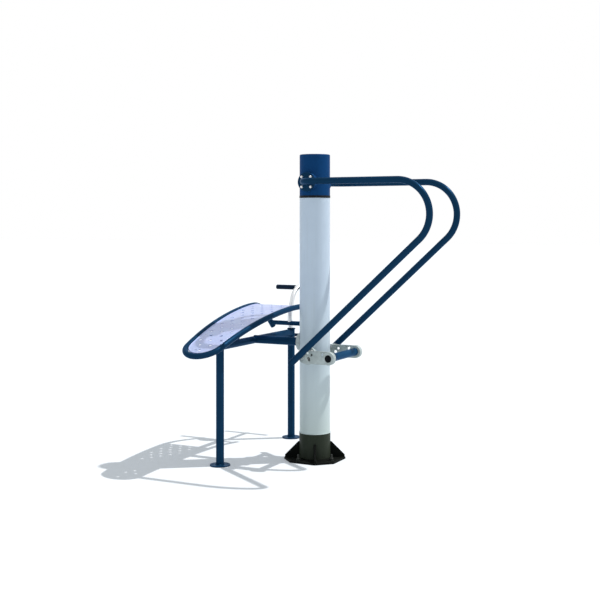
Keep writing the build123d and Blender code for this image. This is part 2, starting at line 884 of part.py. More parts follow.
def front_tube_core():
    reach = half_width(near_leg_y)
    z = front_tube_z()
    return rod(front_tube_radius, (bench_x - reach, near_leg_y, z), (bench_x + reach, near_leg_y, z))


# Front cross tube between the rail's two sides, on top of the near leg.
def front_cross_tube():
    reach = half_width(near_leg_y)
    z = front_tube_z()
    ends = ((bench_x - reach, near_leg_y, z), (bench_x + reach, near_leg_y, z))
    return keep_largest(pipe(front_tube_radius, cross_tube_wall, *ends) - rail_core())


# Rear cross tube between the rail's ends, cut out where the mast goes through it.
def rear_cross_tube():
    reach = half_width(rear_tube_y)
    z = arch_at(rear_tube_y)[0]
    ends = ((bench_x - reach, rear_tube_y, z), (bench_x + reach, rear_tube_y, z))
    tube = pipe(rear_tube_radius, cross_tube_wall, *ends) - rail_core()
    return keep_largest(tube - pipe_along(mast_path(), mast_radius))


def keep_largest(shape):
    return sorted(shape.solids(), key=lambda solid: solid.volume)[-1]


# Path of the mast, from the leg's cap up and over to the ankle bar.
def mast_path():
    knee = (bench_x, mast_knee_y, mast_knee_z)
    top = far_leg_top + leg_cap_thickness
    rise = Vector(0, mast_foot_y - mast_knee_y, top - mast_knee_z).normalized()
    foot = tuple(Vector(bench_x, mast_foot_y, top) + rise * mast_foot_sink)
    crown = (bench_x, mast_crown_y, mast_crown_z)
    run = Vector(0, ankle_y - mast_crown_y, ankle_z - mast_crown_z).normalized()
    tip = Vector(bench_x, ankle_y, ankle_z) + run * mast_tip
    return bent_path([foot, knee, crown, tuple(tip)], (mast_knee_bend, mast_crown_bend))


def mast():
    top = (bench_x, far_leg_y, far_leg_top + leg_cap_thickness)
    below = rod(2 * leg_cap_radius, (bench_x, far_leg_y, far_leg_top - mast_foot_sink), top)
    return pipe_along(mast_path(), mast_radius, mast_wall) - below - axle_core(ankle_bar)


# Level arm of the foot bar, shaped to the far leg.
def foot_arm():
    tip = (bench_x, foot_bar_y + mast_tip, foot_bar_z)
    arm = pipe(mast_radius, mast_wall, (bench_x, far_leg_y, foot_bar_z), tip)
    return arm - rod(leg_radius, (bench_x, far_leg_y, 0), (bench_x, far_leg_y, far_leg_top)) - axle_core(foot_bar)


# Plug in the open end of the mast or the arm.
def tip_plug(end, heading):
    place = Plane(origin=end, z_dir=heading)
    lip = Pos(0, 0, mast_plug_thickness / 2) * Cylinder(mast_radius, mast_plug_thickness)
    lip = fillet(lip.edges().group_by(Axis.Z)[-1], mast_plug_thickness / 2)
    depth = mast_tip - axle_radius - mast_wall
    core = Pos(0, 0, -depth / 2) * Cylinder(mast_radius - mast_wall - end_plug_clearance, depth)
    return place * (lip + core)


# Fixed axle of the ankle bar or the foot bar, welded through the mast or the arm.
def axle_core(bar):
    start = (bench_x - axle_half_length, *bar)
    return rod(axle_radius, start, (bench_x + axle_half_length, *bar))


# A ring on a bar's axle between two distances from its middle, on one side.
def ring_on_axle(bar, side, radius, bore, start, end):
    inner = (bench_x + side * start, *bar)
    outer = (bench_x + side * end, *bar)
    return rod(radius, inner, outer) - rod(bore, inner, outer)


# Roller: a sleeve that turns freely on its axle.
def roller(bar, side):
    bore = axle_radius + roller_clearance
    sleeve = ring_on_axle(bar, side, roller_radius, bore, roller_half_start, roller_half_end)
    rims = [edge for edge in sleeve.edges() if edge.geom_type == GeomType.CIRCLE and edge.radius > axle_radius * 1.2]
    return fillet(rims, roller_edge_round)


# Washers beside the rollers.
def roller_washers():
    rings = []
    inner_start = roller_half_start - roller_side_gap - roller_washer_thickness
    for bar in (ankle_bar, foot_bar):
        for side in (-1, 1):
            for start in (inner_start, roller_half_end + roller_side_gap):
                end = start + roller_washer_thickness
                rings.append(ring_on_axle(bar, side, roller_washer_radius, axle_radius, start, end))
    return group(rings)


# Round-edged caps that keep the rollers on the axle.
def roller_end_caps():
    caps = []
    start = roller_half_end + roller_side_gap + roller_washer_thickness
    for bar in (ankle_bar, foot_bar):
        for side in (-1, 1):
            inner = (bench_x + side * start, *bar)
            outer = (bench_x + side * (start + roller_cap_length), *bar)
            cap = rod(roller_radius, inner, outer)
            cap = fillet(cap.edges().sort_by(Axis.X)[0 if side < 0 else -1], roller_cap_round)
            caps.append(cap - axle_core(bar))
    return group(caps)


pieces = {
    "base_plate": base_plate(),
    "base_gussets": base_gussets(),
    "base_sleeve": base_sleeve(),
    "anchor_studs": anchor_studs(),
    "anchor_washers": anchor_washers(),
    "anchor_nuts": anchor_nuts(),
    "post_tube": post_tube(),
    "inner_spigot": inner_spigot(),
    "joint_ring": joint_ring(),
    "head_tube": head_tube(),
    "top_cap": top_cap(),
    "dip_bar_near": dip_bar(-1),
    "dip_bar_far": dip_bar(1),
    "upper_saddle_near": upper_saddle(-1),
    "upper_saddle_far": upper_saddle(1),
    "upper_bolts": upper_bolts(),
    "bar_end_plugs": bar_end_plugs(),
    "lower_bracket_near": lower_bracket(-1),
    "lower_bracket_far": lower_bracket(1),
    "bracket_screws": bracket_screws(),
    "bar_clamp_bolts": bar_clamp_bolts(),
    "rung_tube": rung_tube(),
    "rung_inserts": rung_inserts(),
    "rung_bolts": rung_bolts(),
    "hub_plugs": hub_plugs(),
    "near_leg": near_leg(),
    "far_leg": far_leg(),
    "near_leg_flange": leg_flange(near_leg_y),
    "far_leg_flange": leg_flange(far_leg_y),
    "leg_top_cap": leg_top_cap(),
    "bench_beam": bench_beam(),
    "cross_beam": cross_beam(),
    "beam_saddle": beam_saddle(),
    "beam_saddle_screws": beam_saddle_screws(),
    "bench_rail": bench_rail(),
    "rail_end_plugs": rail_end_plugs(),
    "bench_panel": bench_panel(),
    "front_cross_tube": front_cross_tube(),
    "rear_cross_tube": rear_cross_tube(),
    "mast": mast(),
    "mast_tip_plug": tip_plug(mast_path() @ 1, mast_path() % 1),
    "foot_arm": foot_arm(),
    "foot_arm_plug": tip_plug((bench_x, foot_bar_y + mast_tip, foot_bar_z), (0, 1, 0)),
    "ankle_axle": axle_core(ankle_bar),
    "foot_axle": axle_core(foot_bar),
    "ankle_roller_left": roller(ankle_bar, -1),
    "ankle_roller_right": roller(ankle_bar, 1),
    "foot_roller_left": roller(foot_bar, -1),
    "foot_roller_right": roller(foot_bar, 1),
    "roller_washers": roller_washers(),
    "roller_end_caps": roller_end_caps(),
}

for name, piece in pieces.items():
    export_step(piece, f"parts/{name}.step")
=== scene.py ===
import math
import bmesh
import bpy
from mathutils import Matrix, Vector


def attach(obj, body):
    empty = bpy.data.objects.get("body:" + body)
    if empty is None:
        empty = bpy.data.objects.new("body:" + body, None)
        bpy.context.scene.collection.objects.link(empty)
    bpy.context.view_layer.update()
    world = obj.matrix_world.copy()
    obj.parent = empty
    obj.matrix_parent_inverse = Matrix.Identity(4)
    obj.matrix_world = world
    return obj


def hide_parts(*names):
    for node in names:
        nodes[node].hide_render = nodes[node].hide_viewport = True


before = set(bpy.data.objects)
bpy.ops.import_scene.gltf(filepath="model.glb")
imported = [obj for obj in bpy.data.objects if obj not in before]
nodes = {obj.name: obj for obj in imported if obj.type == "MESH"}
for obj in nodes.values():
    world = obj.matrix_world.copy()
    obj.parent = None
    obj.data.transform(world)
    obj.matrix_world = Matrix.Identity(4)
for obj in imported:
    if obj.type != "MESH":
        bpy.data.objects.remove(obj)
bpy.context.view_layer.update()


# Floor, light and camera.
# The station stands on a plain white floor in clear daylight, with the sun high on its right.
# The camera stands where the photo was taken from: at eye height, level and 26 degrees round from the front.
camera_place = (3.108, -6.277, 1.562)
camera_turn = math.radians(26.34)
camera_lens = 63.93
camera_shift = (-0.0248, -0.1317)
camera_sensor = 36
floor_half = 60.0
floor_colour = (0.73, 0.74, 0.75, 1)
floor_roughness = 0.9
floor_shine = 0.1
floor_lift = 0.20
white = (1, 1, 1, 1)
sky_colour = (0.80, 0.91, 1.0, 1)
sky_strength = 0.49
sun_from = (0.53, 0.376, 1.0)
sun_strength = 2.9
sun_spread = math.radians(0.7)


def feed(node, **values):
    """Gives a node's inputs, by name, sockets or plain values."""
    for label, value in values.items():
        place = node.inputs[label.replace("_", " ")]
        if isinstance(value, bpy.types.NodeSocket):
            node.id_data.links.new(value, place)
        else:
            place.default_value = value


def add_node(tree, kind, **values):
    """A new node, with its inputs fed."""
    made = tree.nodes.new(kind)
    feed(made, **values)
    return made


def sum_node(tree, kind, first, second=None, third=None, clamp=False):
    """A Math node, fed with sockets or plain numbers."""
    made = tree.nodes.new("ShaderNodeMath")
    made.operation = kind
    made.use_clamp = clamp
    for place, value in zip(made.inputs, (first, second, third)):
        if isinstance(value, bpy.types.NodeSocket):
            tree.links.new(value, place)
        elif value is not None:
            place.default_value = value
    return made.outputs[0]


def times(tree, first, second):
    return sum_node(tree, "MULTIPLY", first, second)


def sight(tree):
    """Is 1 where the eye looks straight, off a mirror or through glass."""
    path = tree.nodes.new("ShaderNodeLightPath").outputs
    clear = sum_node(tree, "MAXIMUM", path["Is Camera Ray"], path["Is Transmission Ray"])
    return sum_node(tree, "MAXIMUM", clear, path["Is Glossy Ray"])


def stand(name, data):
    """A new object in the scene."""
    made = bpy.data.objects.new(name, data)
    bpy.context.scene.collection.objects.link(made)
    return made


def lay_floor():
    mesh = bpy.data.meshes.new("floor")
    corners = [(x * floor_half, y * floor_half, 0) for x, y in ((-1, -1), (1, -1), (1, 1), (-1, 1))]
    mesh.from_pydata(corners, [], [(0, 1, 2, 3)])
    floor = stand("floor", mesh)
    material = bpy.data.materials.new("floor")
    material.use_nodes = True
    tree = material.node_tree
    shader = tree.nodes["Principled BSDF"]
    feed(shader, Base_Color=floor_colour, Roughness=floor_roughness, Specular_IOR_Level=floor_shine)
    feed(shader, Emission_Color=white, Emission_Strength=times(tree, sight(tree), floor_lift))
    mesh.materials.append(material)


def light_the_sky():
    world = bpy.data.worlds.new("sky")
    bpy.context.scene.world = world
    world.use_nodes = True
    tree = world.node_tree
    sky = tree.nodes["Background"]
    feed(sky, Color=sky_colour, Strength=sky_strength)
    backdrop = add_node(tree, "ShaderNodeBackground", Color=white)
    mix = add_node(tree, "ShaderNodeMixShader", Fac=sight(tree))
    tree.links.new(sky.outputs[0], mix.inputs[1])
    tree.links.new(backdrop.outputs[0], mix.inputs[2])
    feed(tree.nodes["World Output"], Surface=mix.outputs[0])


def hang_sun():
    data = bpy.data.lights.new("sun", "SUN")
    data.energy = sun_strength
    data.angle = sun_spread
    stand("sun", data).rotation_euler = (-Vector(sun_from)).to_track_quat("-Z", "Y").to_euler()


def place_camera():
    data = bpy.data.cameras.new("camera")
    data.lens = camera_lens
    data.sensor_width = camera_sensor
    data.shift_x, data.shift_y = camera_shift
    camera = stand("camera", data)
    camera.location = camera_place
    camera.rotation_euler = (math.radians(90), 0, camera_turn)
    bpy.context.scene.camera = camera


bpy.context.scene.view_settings.view_transform = "Standard"
lay_floor()
light_the_sky()
hang_sun()
place_camera()


# Base: plate, four webs, sleeve and anchors.
# Thick steel plate cut by flame and welded, painted black, with some dust and bare metal at its edges.
# Four studs from the footing come up through the plate and are held by washers and nuts.
plate_top = 0.012
sleeve_radius = 0.1025
sleeve_top = 0.176
web_turn = math.atan2(-0.18, 0.09)
web_reach = 0.196
web_top = 0.115
web_half = 0.005
anchor_ring = 0.150
anchor_rise = 0.052
stud_radius = 0.008
stud_round = 0.0012
stud_point = 0.003
thread_start = 0.029
thread_pitch = 0.0018
thread_depth = 0.0009
thread_root = 0.0004
thread_crest = 0.0013
thread_end = 0.0035
washer_radius = 0.015
washer_top = 0.015
nut_radius = 0.0139
nut_height = 0.013
nut_bore = 0.0081
patch_range = (0.34, 0.68)
speck_scale = 260
speck_range = (0.66, 0.74)
streak_stretch = (1, 1, 0.035)
streak_range = (0.48, 0.78)
streak_break_range = (0.4, 0.62)
peel_scale = 420
wave_scale = 38
wave_share = 2.5
edge_range = (0.985, 0.86)
rub_range = (0.44, 0.6)
dust_slope_range = (0.35, 0.95)
dust_height = 0.55
dust_cloud_range = (0.36, 0.7)
splash_height = 0.09
bead_size = 0.0035
bead_ripple = 0.0045
bead_ripple_depth = 0.14
bead_ripple_steps = 5.0
web_seam_gap = 0.003
web_seam_drop = 0.004


def spread(tree, value, low, high, to_low=0.0, to_high=1.0):
    """A value brought from one range to another, and kept inside it."""
    made = add_node(tree, "ShaderNodeMapRange", Value=value, From_Min=low, From_Max=high)
    feed(made, To_Min=to_low, To_Max=to_high)
    return made.outputs[0]


def noise(tree, vector, scale, detail=3.0, rough=0.55, twist=0.0):
    made = add_node(tree, "ShaderNodeTexNoise", Vector=vector, Scale=scale, Detail=detail, Roughness=rough)
    feed(made, Distortion=twist)
    return made.outputs["Fac"]


def stretched(tree, vector, scale):
    """A place squeezed along its axes, which stretches the noise on it."""
    return add_node(tree, "ShaderNodeMapping", Vector=vector, Scale=scale).outputs[0]


def axes(tree, vector):
    """The X, Y and Z of a vector."""
    return add_node(tree, "ShaderNodeSeparateXYZ", Vector=vector).outputs


def blend(tree, mask, first, second):
    """Two colours mixed by a mask. Each is a socket or a plain colour."""
    made = tree.nodes.new("ShaderNodeMix")
    made.data_type = "RGBA"
    tree.links.new(mask, made.inputs[0])
    for place, value in ((6, first), (7, second)):
        if isinstance(value, tuple):
            made.inputs[place].default_value = (*value, 1)
        else:
            tree.links.new(value, made.inputs[place])
    return made.outputs[2]


def new_group(name, inputs, outputs, kind="ShaderNodeTree"):
    """An empty node group, with its inputs and outputs named."""
    tree = bpy.data.node_groups.new(name, kind)
    for label, socket, value in inputs:
        made = tree.interface.new_socket(label, in_out="INPUT", socket_type=socket)
        if value is not None:
            made.default_value = value
    for label, socket in outputs:
        tree.interface.new_socket(label, in_out="OUTPUT", socket_type=socket)
    return tree, tree.nodes.new("NodeGroupInput"), tree.nodes.new("NodeGroupOutput")


def make_weathering():
    """Soft patches, fine specks, rain streaks down the piece and the peel of sprayed paint."""
    tree, given, out = new_group(
        "weathering",
        [("Vector", "NodeSocketVector", None), ("Patch Size", "NodeSocketFloat", 9.0)],
        [(label, "NodeSocketFloat") for label in ("Patches", "Specks", "Streaks", "Peel")],
    )
    place = given.outputs["Vector"]
    soft = noise(tree, place, given.outputs["Patch Size"], 5, 0.6)
    streaks = spread(tree, noise(tree, stretched(tree, place, streak_stretch), 42, 3, 0.6), *streak_range)
    broken = spread(tree, noise(tree, place, 3.5, 2), *streak_break_range)
    peel = noise(tree, place, peel_scale, 1.5)
    wave = noise(tree, place, wave_scale, 1.0)
    feed(
        out, Patches=spread(tree, soft, *patch_range), Streaks=times(tree, streaks, broken),
        Specks=spread(tree, noise(tree, place, speck_scale, 2), *speck_range),
        Peel=sum_node(tree, "MULTIPLY_ADD", wave, wave_share, peel))
    return tree


def make_edge_wear():
    """Rounds sharp edges to the eye, and marks them where use has rubbed them."""
    tree, given, out = new_group(
        "edge_wear",
        [("Vector", "NodeSocketVector", None), ("Edge Size", "NodeSocketFloat", 0.0015)],
        [("Wear", "NodeSocketFloat"), ("Normal", "NodeSocketVector")],
    )
    rounded = add_node(tree, "ShaderNodeBevel", Radius=given.outputs["Edge Size"])
    rounded.samples = 4
    dot = tree.nodes.new("ShaderNodeVectorMath")
    dot.operation = "DOT_PRODUCT"
    tree.links.new(rounded.outputs[0], dot.inputs[0])
    tree.links.new(tree.nodes.new("ShaderNodeNewGeometry").outputs["Normal"], dot.inputs[1])
    edge = spread(tree, dot.outputs["Value"], *edge_range)
    rubbed = spread(tree, noise(tree, given.outputs["Vector"], 95, 4, 0.65), *rub_range)
    feed(out, Wear=times(tree, edge, rubbed), Normal=rounded.outputs[0])
    return tree


def make_dust():
    """Dust that lies on faces that look up, thicker low down near the ground."""
    sockets = [("Vector", "NodeSocketVector", None)], [("Dust", "NodeSocketFloat")]
    tree, given, out = new_group("dust", *sockets)
    normal = tree.nodes.new("ShaderNodeNewGeometry").outputs["Normal"]
    up = spread(tree, axes(tree, normal)["Z"], *dust_slope_range)
    height = axes(tree, given.outputs["Vector"])["Z"]
    low = spread(tree, height, 0.0, dust_height, 1.0, 0.35)
    cloud = spread(tree, noise(tree, given.outputs["Vector"], 24, 5, 0.62), *dust_cloud_range)
    splash = times(tree, spread(tree, height, 0.0, splash_height, 0.55, 0.0), cloud)
    feed(out, Dust=sum_node(tree, "MULTIPLY_ADD", times(tree, up, low), cloud, splash, clamp=True))
    return tree


weathering = make_weathering()
edge_wear = make_edge_wear()
dust = make_dust()


def use(tree, group, vector, **inputs):
    """A shared effect at a place, with its outputs."""
    made = tree.nodes.new("ShaderNodeGroup")
    made.node_tree = group
    feed(made, Vector=vector, **inputs)
    return made.outputs


def new_finish(name):
    """A new material, with its node tree, its shader and the place on the piece."""
    material = bpy.data.materials.new(name)
    material.use_nodes = True
    tree = material.node_tree
    place = tree.nodes.new("ShaderNodeTexCoord").outputs["Object"]
    return material, tree, tree.nodes["Principled BSDF"], place


def emboss(tree, shader, height, strength, depth, normal=None):
    """Fine relief from a height, over the plain surface or over a normal."""
    bump = add_node(tree, "ShaderNodeBump", Strength=strength, Distance=depth, Height=height)
    if normal is not None:
        feed(bump, Normal=normal)
    feed(shader, Normal=bump.outputs[0])


def painted(
        name, colour, deep, bare, dirt, roughness, peel=0.00006, edge=0.0015, metal=0.0, shine=0.5,
        patch=9.0, streak=0.35, dusty=0.5, foot=None, glint=(1.0, 1.0, 1.0)):
    """Sprayed paint on steel: two tones in soft patches, rubbed edges, streaks, dust and orange peel."""
    material, tree, shader, place = new_finish(name)
    weather = use(tree, weathering, place, Patch_Size=patch)
    edges = use(tree, edge_wear, place, Edge_Size=edge)
    lying = times(tree, use(tree, dust, place)["Dust"], dusty)
    tone = blend(tree, weather["Patches"], colour, deep)
    # Low down the tone blends into the foot colour: darker and greener towards the bottom.
    if foot:
        tone = blend(tree, spread(tree, axes(tree, place)["Z"], 0.2, 1.1, 1.0, 0.0), tone, foot)
    tone = blend(tree, times(tree, weather["Streaks"], streak), tone, dirt)
    tone = blend(tree, times(tree, weather["Specks"], streak), tone, deep)
    tone = blend(tree, lying, tone, dirt)
    tone = blend(tree, edges["Wear"], tone, bare)
    rough = spread(tree, weather["Patches"], 0, 1, *roughness)
    rough = sum_node(tree, "MULTIPLY_ADD", lying, 0.3, rough, clamp=True)
    feed(shader, Base_Color=tone, Roughness=rough, Metallic=metal)
    feed(shader, Specular_IOR_Level=shine, Specular_Tint=(*glint, 1))
    emboss(tree, shader, weather["Peel"], 0.6, peel, edges["Normal"])
    return material


def dress(material, *names):
    """Gives CAD nodes their finish."""
    for name in names:
        for held in nodes[name].material_slots:
            held.material = material


def fit(name, mesh, material, slot, *stands_for, body="station"):
    """Puts a finished mesh on its body, in place of the CAD nodes that it stands for."""
    piece = stand(name, mesh)
    if material:
        mesh.materials.clear()
        mesh.materials.append(material)
    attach(piece, body)
    if stands_for:
        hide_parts(*stands_for)
    return piece


def smooth(mesh):
    mesh.polygons.foreach_set("use_smooth", [True] * len(mesh.polygons))


def settled(name, rough):
    """The plain mesh that an object's modifiers make. The object itself goes."""
    made = bpy.data.meshes.new_from_object(rough.evaluated_get(bpy.context.evaluated_depsgraph_get()))
    rough.modifiers.clear()
    bpy.data.objects.remove(rough)
    made.name = name
    return made


def mesh_of(name, shape, sharp=35):
    """A bmesh as a mesh, with its faces outward and shaded round up to a sharp angle."""
    bmesh.ops.remove_doubles(shape, verts=shape.verts, dist=0.000002)
    bmesh.ops.recalc_face_normals(shape, faces=shape.faces)
    mesh = bpy.data.meshes.new(name)
    shape.to_mesh(mesh)
    shape.free()
    smooth(mesh)
    mesh.set_sharp_from_angle(angle=math.radians(sharp))
    return mesh


def polar(reach, angle, height=0.0):
    """A point at a distance from the Z axis and an angle round it."""
    return Vector((reach * math.cos(angle), reach * math.sin(angle), height))


def turns_round(count):
    """Even steps once round, in radians."""
    return [2 * math.pi * k / count for k in range(count)]


def add_rings(shape, rings, closed=False):
    """Joins rings of points into a skin. An open skin gets flat ends."""
    made = [[shape.verts.new(point) for point in ring] for ring in rings]
    pairs = list(zip(made, made[1:] + made[:1])) if closed else list(zip(made, made[1:]))
    for low, high in pairs:
        for k in range(len(low)):
            after = (k + 1) % len(low)
            shape.faces.new((low[k], low[after], high[after], high[k]))
    if not closed:
        shape.faces.new(made[0][::-1])
        shape.faces.new(made[-1])


def add_turned(shape, place, profile, sides=32):
    """A turned solid: a ring from a closed profile of (radius, height), or a full one from axis to axis."""
    rings = []
    for radius, height in profile:
        if radius == 0:
            continue
        rings.append([place @ polar(radius, angle, height) for angle in turns_round(sides)])
    add_rings(shape, rings, closed=all(radius > 0 for radius, height in profile))


def add_hex(shape, place, radius, height, bore=0.0):
    """A hexagon head or nut, with its corners turned off."""
    turns = turns_round(12)
    rings = []
    for level, share, drop in ((0, 0.9212, 0), (0.08, 1, -0.04), (0.86, 1, 0.05), (1, 0.8036, 0)):
        ring = []
        for k, angle in enumerate(turns):
            flat = k % 2
            reach = min(radius * (math.cos(math.pi / 6) if flat else 1), radius * share)
            ring.append(place @ polar(reach, angle, (level if flat else level - drop) * height))
        rings.append(ring)
    if bore:
        rings += [[place @ polar(bore, angle, level) for angle in turns] for level in (height, 0)]
    add_rings(shape, rings, closed=bool(bore))


def grow(name, points, tree, material, lines=(), facing=None, **inputs):
    """Runs a Geometry Nodes tree on points or lines and returns the plain mesh that it makes."""
    mesh = bpy.data.meshes.new(name)
    mesh.from_pydata([tuple(point) for point in points], list(lines), [])
    if facing:
        held = mesh.attributes.new("facing", "FLOAT_VECTOR", "POINT")
        held.data.foreach_set("vector", [number for way in facing for number in way])
    root = stand(name, mesh)
    modifier = root.modifiers.new("grow", "NODES")
    modifier.node_group = tree
    keys = {item.name: item.identifier for item in tree.interface.items_tree if item.in_out == "INPUT"}
    modifier[keys["Material"]] = material
    for label, value in inputs.items():
        modifier[keys[label.replace("_", " ").title()]] = value
    return settled(name, root)


def shape_tree(name, sockets):
    """An empty group that takes geometry and a few sockets, and gives geometry."""
    inputs = [("Geometry", "NodeSocketGeometry", None), *sockets]
    return new_group(name, inputs, [("Geometry", "NodeSocketGeometry")], "GeometryNodeTree")


def close_tree(tree, given, out, geometry):
    """The end of every tree: real geometry, with its material."""
    real = add_node(tree, "GeometryNodeRealizeInstances", Geometry=geometry)
    material = given.outputs["Material"]
    finish = add_node(tree, "GeometryNodeSetMaterial", Geometry=real.outputs[0], Material=material)
    feed(out, Geometry=finish.outputs[0])


def make_weld_bead():
    """A bead with the ripples of a hand-held torch, along every line of the mesh."""
    tree, given, out = shape_tree("weld_bead", [
        ("Bead Size", "NodeSocketFloat", bead_size), ("Ripple", "NodeSocketFloat", bead_ripple),
        ("Ripple Depth", "NodeSocketFloat", bead_ripple_depth), ("Material", "NodeSocketMaterial", None)])
    ripple = given.outputs["Ripple"]
    line = add_node(tree, "GeometryNodeMeshToCurve", Mesh=given.outputs["Geometry"])
    step = tree.nodes.new("GeometryNodeResampleCurve")
    step.mode = "LENGTH"
    feed(step, Curve=line.outputs[0], Length=sum_node(tree, "DIVIDE", ripple, bead_ripple_steps))
    along = tree.nodes.new("GeometryNodeSplineParameter").outputs["Length"]
    wave = sum_node(tree, "SINE", times(tree, sum_node(tree, "DIVIDE", along, ripple), 2 * math.pi))
    size = sum_node(tree, "MULTIPLY_ADD", wave, given.outputs["Ripple Depth"], 1.0)
    ring = add_node(tree, "GeometryNodeCurvePrimitiveCircle", Resolution=8, Radius=given.outputs["Bead Size"])
    skin = add_node(tree, "GeometryNodeCurveToMesh", Curve=step.outputs[0], Profile_Curve=ring.outputs[0])
    feed(skin, Scale=size, Fill_Caps=True)
    close_tree(tree, given, out, skin.outputs[0])
    return tree


def make_placed():
    """Copies of one fastener or rim on points, each along its own facing and turned a little its own way."""
    tree, given, out = shape_tree("placed", [
        ("Copy", "NodeSocketObject", None), ("Turn", "NodeSocketFloat", 0.0),
        ("Seed", "NodeSocketInt", 7), ("Material", "NodeSocketMaterial", None)])
    held = add_node(tree, "GeometryNodeObjectInfo", Object=given.outputs["Copy"])
    facing = tree.nodes.new("GeometryNodeInputNamedAttribute")
    facing.data_type = "FLOAT_VECTOR"
    feed(facing, Name="facing")
    aim = add_node(tree, "FunctionNodeAlignRotationToVector", Vector=facing.outputs["Attribute"])
    aim.axis = "Z"
    chance = add_node(tree, "FunctionNodeRandomValue", Seed=given.outputs["Seed"])
    chance.data_type = "FLOAT"
    tree.links.new(given.outputs["Turn"], chance.inputs[3])
    twist = add_node(tree, "FunctionNodeAxisAngleToRotation", Axis=(0, 0, 1), Angle=chance.outputs[1])
    turned = add_node(tree, "FunctionNodeRotateRotation", Rotation=aim.outputs[0], Rotate_By=twist.outputs[0])
    turned.rotation_space = "LOCAL"
    copies = add_node(tree, "GeometryNodeInstanceOnPoints", Points=given.outputs["Geometry"])
    feed(copies, Instance=held.outputs["Geometry"], Rotation=turned.outputs[0])
    close_tree(tree, given, out, copies.outputs[0])
    return tree


weld_bead = make_weld_bead()
placed = make_placed()


def place_copies(name, model, spots, ways, material, slot, *stands_for, turn=1.0, seed=7):
    """A copy of the model on each spot, aimed its own way, all as one piece."""
    pattern = stand("pattern", model)
    made = grow(name, spots, placed, material, facing=ways, copy=pattern, turn=turn, seed=seed)
    bpy.data.objects.remove(pattern)
    bpy.data.meshes.remove(model)
    fit(name, made, None, slot, *stands_for)


def weld(name, loops, material, slot, size=bead_size):
    """Beads along lines of points. A line whose ends meet is a closed loop."""
    points, lines = [], []
    for loop in loops:
        shut = (Vector(loop[0]) - Vector(loop[-1])).length < 0.0001
        run = list(loop[:-1]) if shut else list(loop)
        start = len(points)
        points += run
        lines += [(start + k, start + k + 1) for k in range(len(run) - 1)]
        if shut:
            lines.append((start + len(run) - 1, start))
    made = grow(name, points, weld_bead, material, lines=lines, bead_size=size)
    smooth(made)
    fit(name, made, None, slot)


def ring_line(centre, axis, radius, steps=48):
    """A closed circle of points round an axis."""
    axis = Vector(axis).normalized()
    side = axis.orthogonal().normalized()
    other = axis.cross(side)
    turns = [2 * math.pi * k / steps for k in range(steps + 1)]
    return [Vector(centre) + side * radius * math.cos(a) + other * radius * math.sin(a) for a in turns]


def saddle_line(centre, run, across, radius, host, steps=56):
    """The line where a round tube meets a thicker one square to it.
    run points from the host's axis along the tube, across lies along the host."""
    run, across = Vector(run), Vector(across)
    side = run.cross(across)
    points = []
    for k in range(steps + 1):
        a = 2 * math.pi * k / steps
        off = radius * math.sin(a)
        reach = math.sqrt(max(host * host - off * off, 0))
        points.append(Vector(centre) + across * radius * math.cos(a) + side * off + run * reach)
    return points


# The plate and webs get a darker black than the sleeve: painted shade, for the low plate and webs.
black_paint = painted(
    "black_paint", colour=(0.0045, 0.0055, 0.0045), deep=(0.007, 0.008, 0.007), bare=(0.05, 0.05, 0.045),
    dirt=(0.035, 0.036, 0.03), roughness=(0.42, 0.6), peel=0.00008, shine=0.03, streak=0.2, dusty=0.06)
sleeve_paint = painted(
    "sleeve_paint", colour=(0.024, 0.032, 0.020), deep=(0.029, 0.036, 0.024), bare=(0.09, 0.09, 0.08),
    dirt=(0.06, 0.06, 0.05), roughness=(0.45, 0.6), peel=0.00008, shine=0.12, streak=0.25, dusty=0.15)
anchor_paint = painted(
    "anchor_paint", colour=(0.036, 0.040, 0.036), deep=(0.028, 0.031, 0.028), bare=(0.15, 0.15, 0.14),
    dirt=(0.07, 0.07, 0.06), roughness=(0.38, 0.5), peel=0.00003, edge=0.0008, metal=0.3, shine=0.2,
    streak=0.3, dusty=0.3)
dress(black_paint, "base_plate", "base_gussets")
dress(sleeve_paint, "base_sleeve")


def anchor():
    """Stud with its thread above the nut, nut and washer, as one."""
    shape = bmesh.new()
    profile = [(0, 0), (stud_radius, 0.0), (stud_radius, thread_start)]
    height = thread_start
    while height < anchor_rise - thread_end:
        profile += [(stud_radius - thread_depth, height + thread_root), (stud_radius, height + thread_crest)]
        height += thread_pitch
    profile += [(stud_radius - stud_round, anchor_rise - stud_round), (stud_radius - stud_point, anchor_rise)]
    add_turned(shape, Matrix(), profile + [(0, anchor_rise)], 24)
    washer = [(nut_bore, plate_top), (washer_radius - 0.0002, plate_top), (washer_radius, plate_top + 0.0005)]
    washer += [(washer_radius, washer_top - 0.0003), (washer_radius - 0.0004, washer_top)]
    add_turned(shape, Matrix(), washer + [(nut_bore, washer_top)], 32)
    add_hex(shape, Matrix.Translation((0, 0, washer_top)), nut_radius, nut_height, bore=nut_bore)
    return mesh_of("anchor", shape)


anchor_turns = [web_turn + math.pi / 4 + math.pi / 2 * k for k in range(4)]
anchor_spots = [polar(anchor_ring, angle) for angle in anchor_turns]
place_copies(
    "anchor_bolts", anchor(), anchor_spots, [(0, 0, 1)] * 4, anchor_paint, "base_black",
    "anchor_studs", "anchor_washers", "anchor_nuts")


def web_seams():
    """Both sides of every web: up the sleeve and out along the plate."""
    seams = []
    near = math.sqrt(sleeve_radius ** 2 - web_half ** 2)
    for k in range(4):
        angle = web_turn + math.pi / 2 * k
        out = polar(1, angle)
        side = Vector((-out.y, out.x, 0))
        for way in (-1, 1):
            off = side * way * web_half
            foot = out * near + off + Vector((0, 0, plate_top))
            seams.append([out * near + off + Vector((0, 0, web_top - web_seam_drop)), foot])
            seams.append([foot, out * (web_reach - web_seam_gap) + off + Vector((0, 0, plate_top))])
    return seams


sleeve_seam = ring_line((0, 0, plate_top), (0, 0, 1), sleeve_radius, 96)
weld("base_seams", web_seams() + [sleeve_seam], black_paint, "base_black")


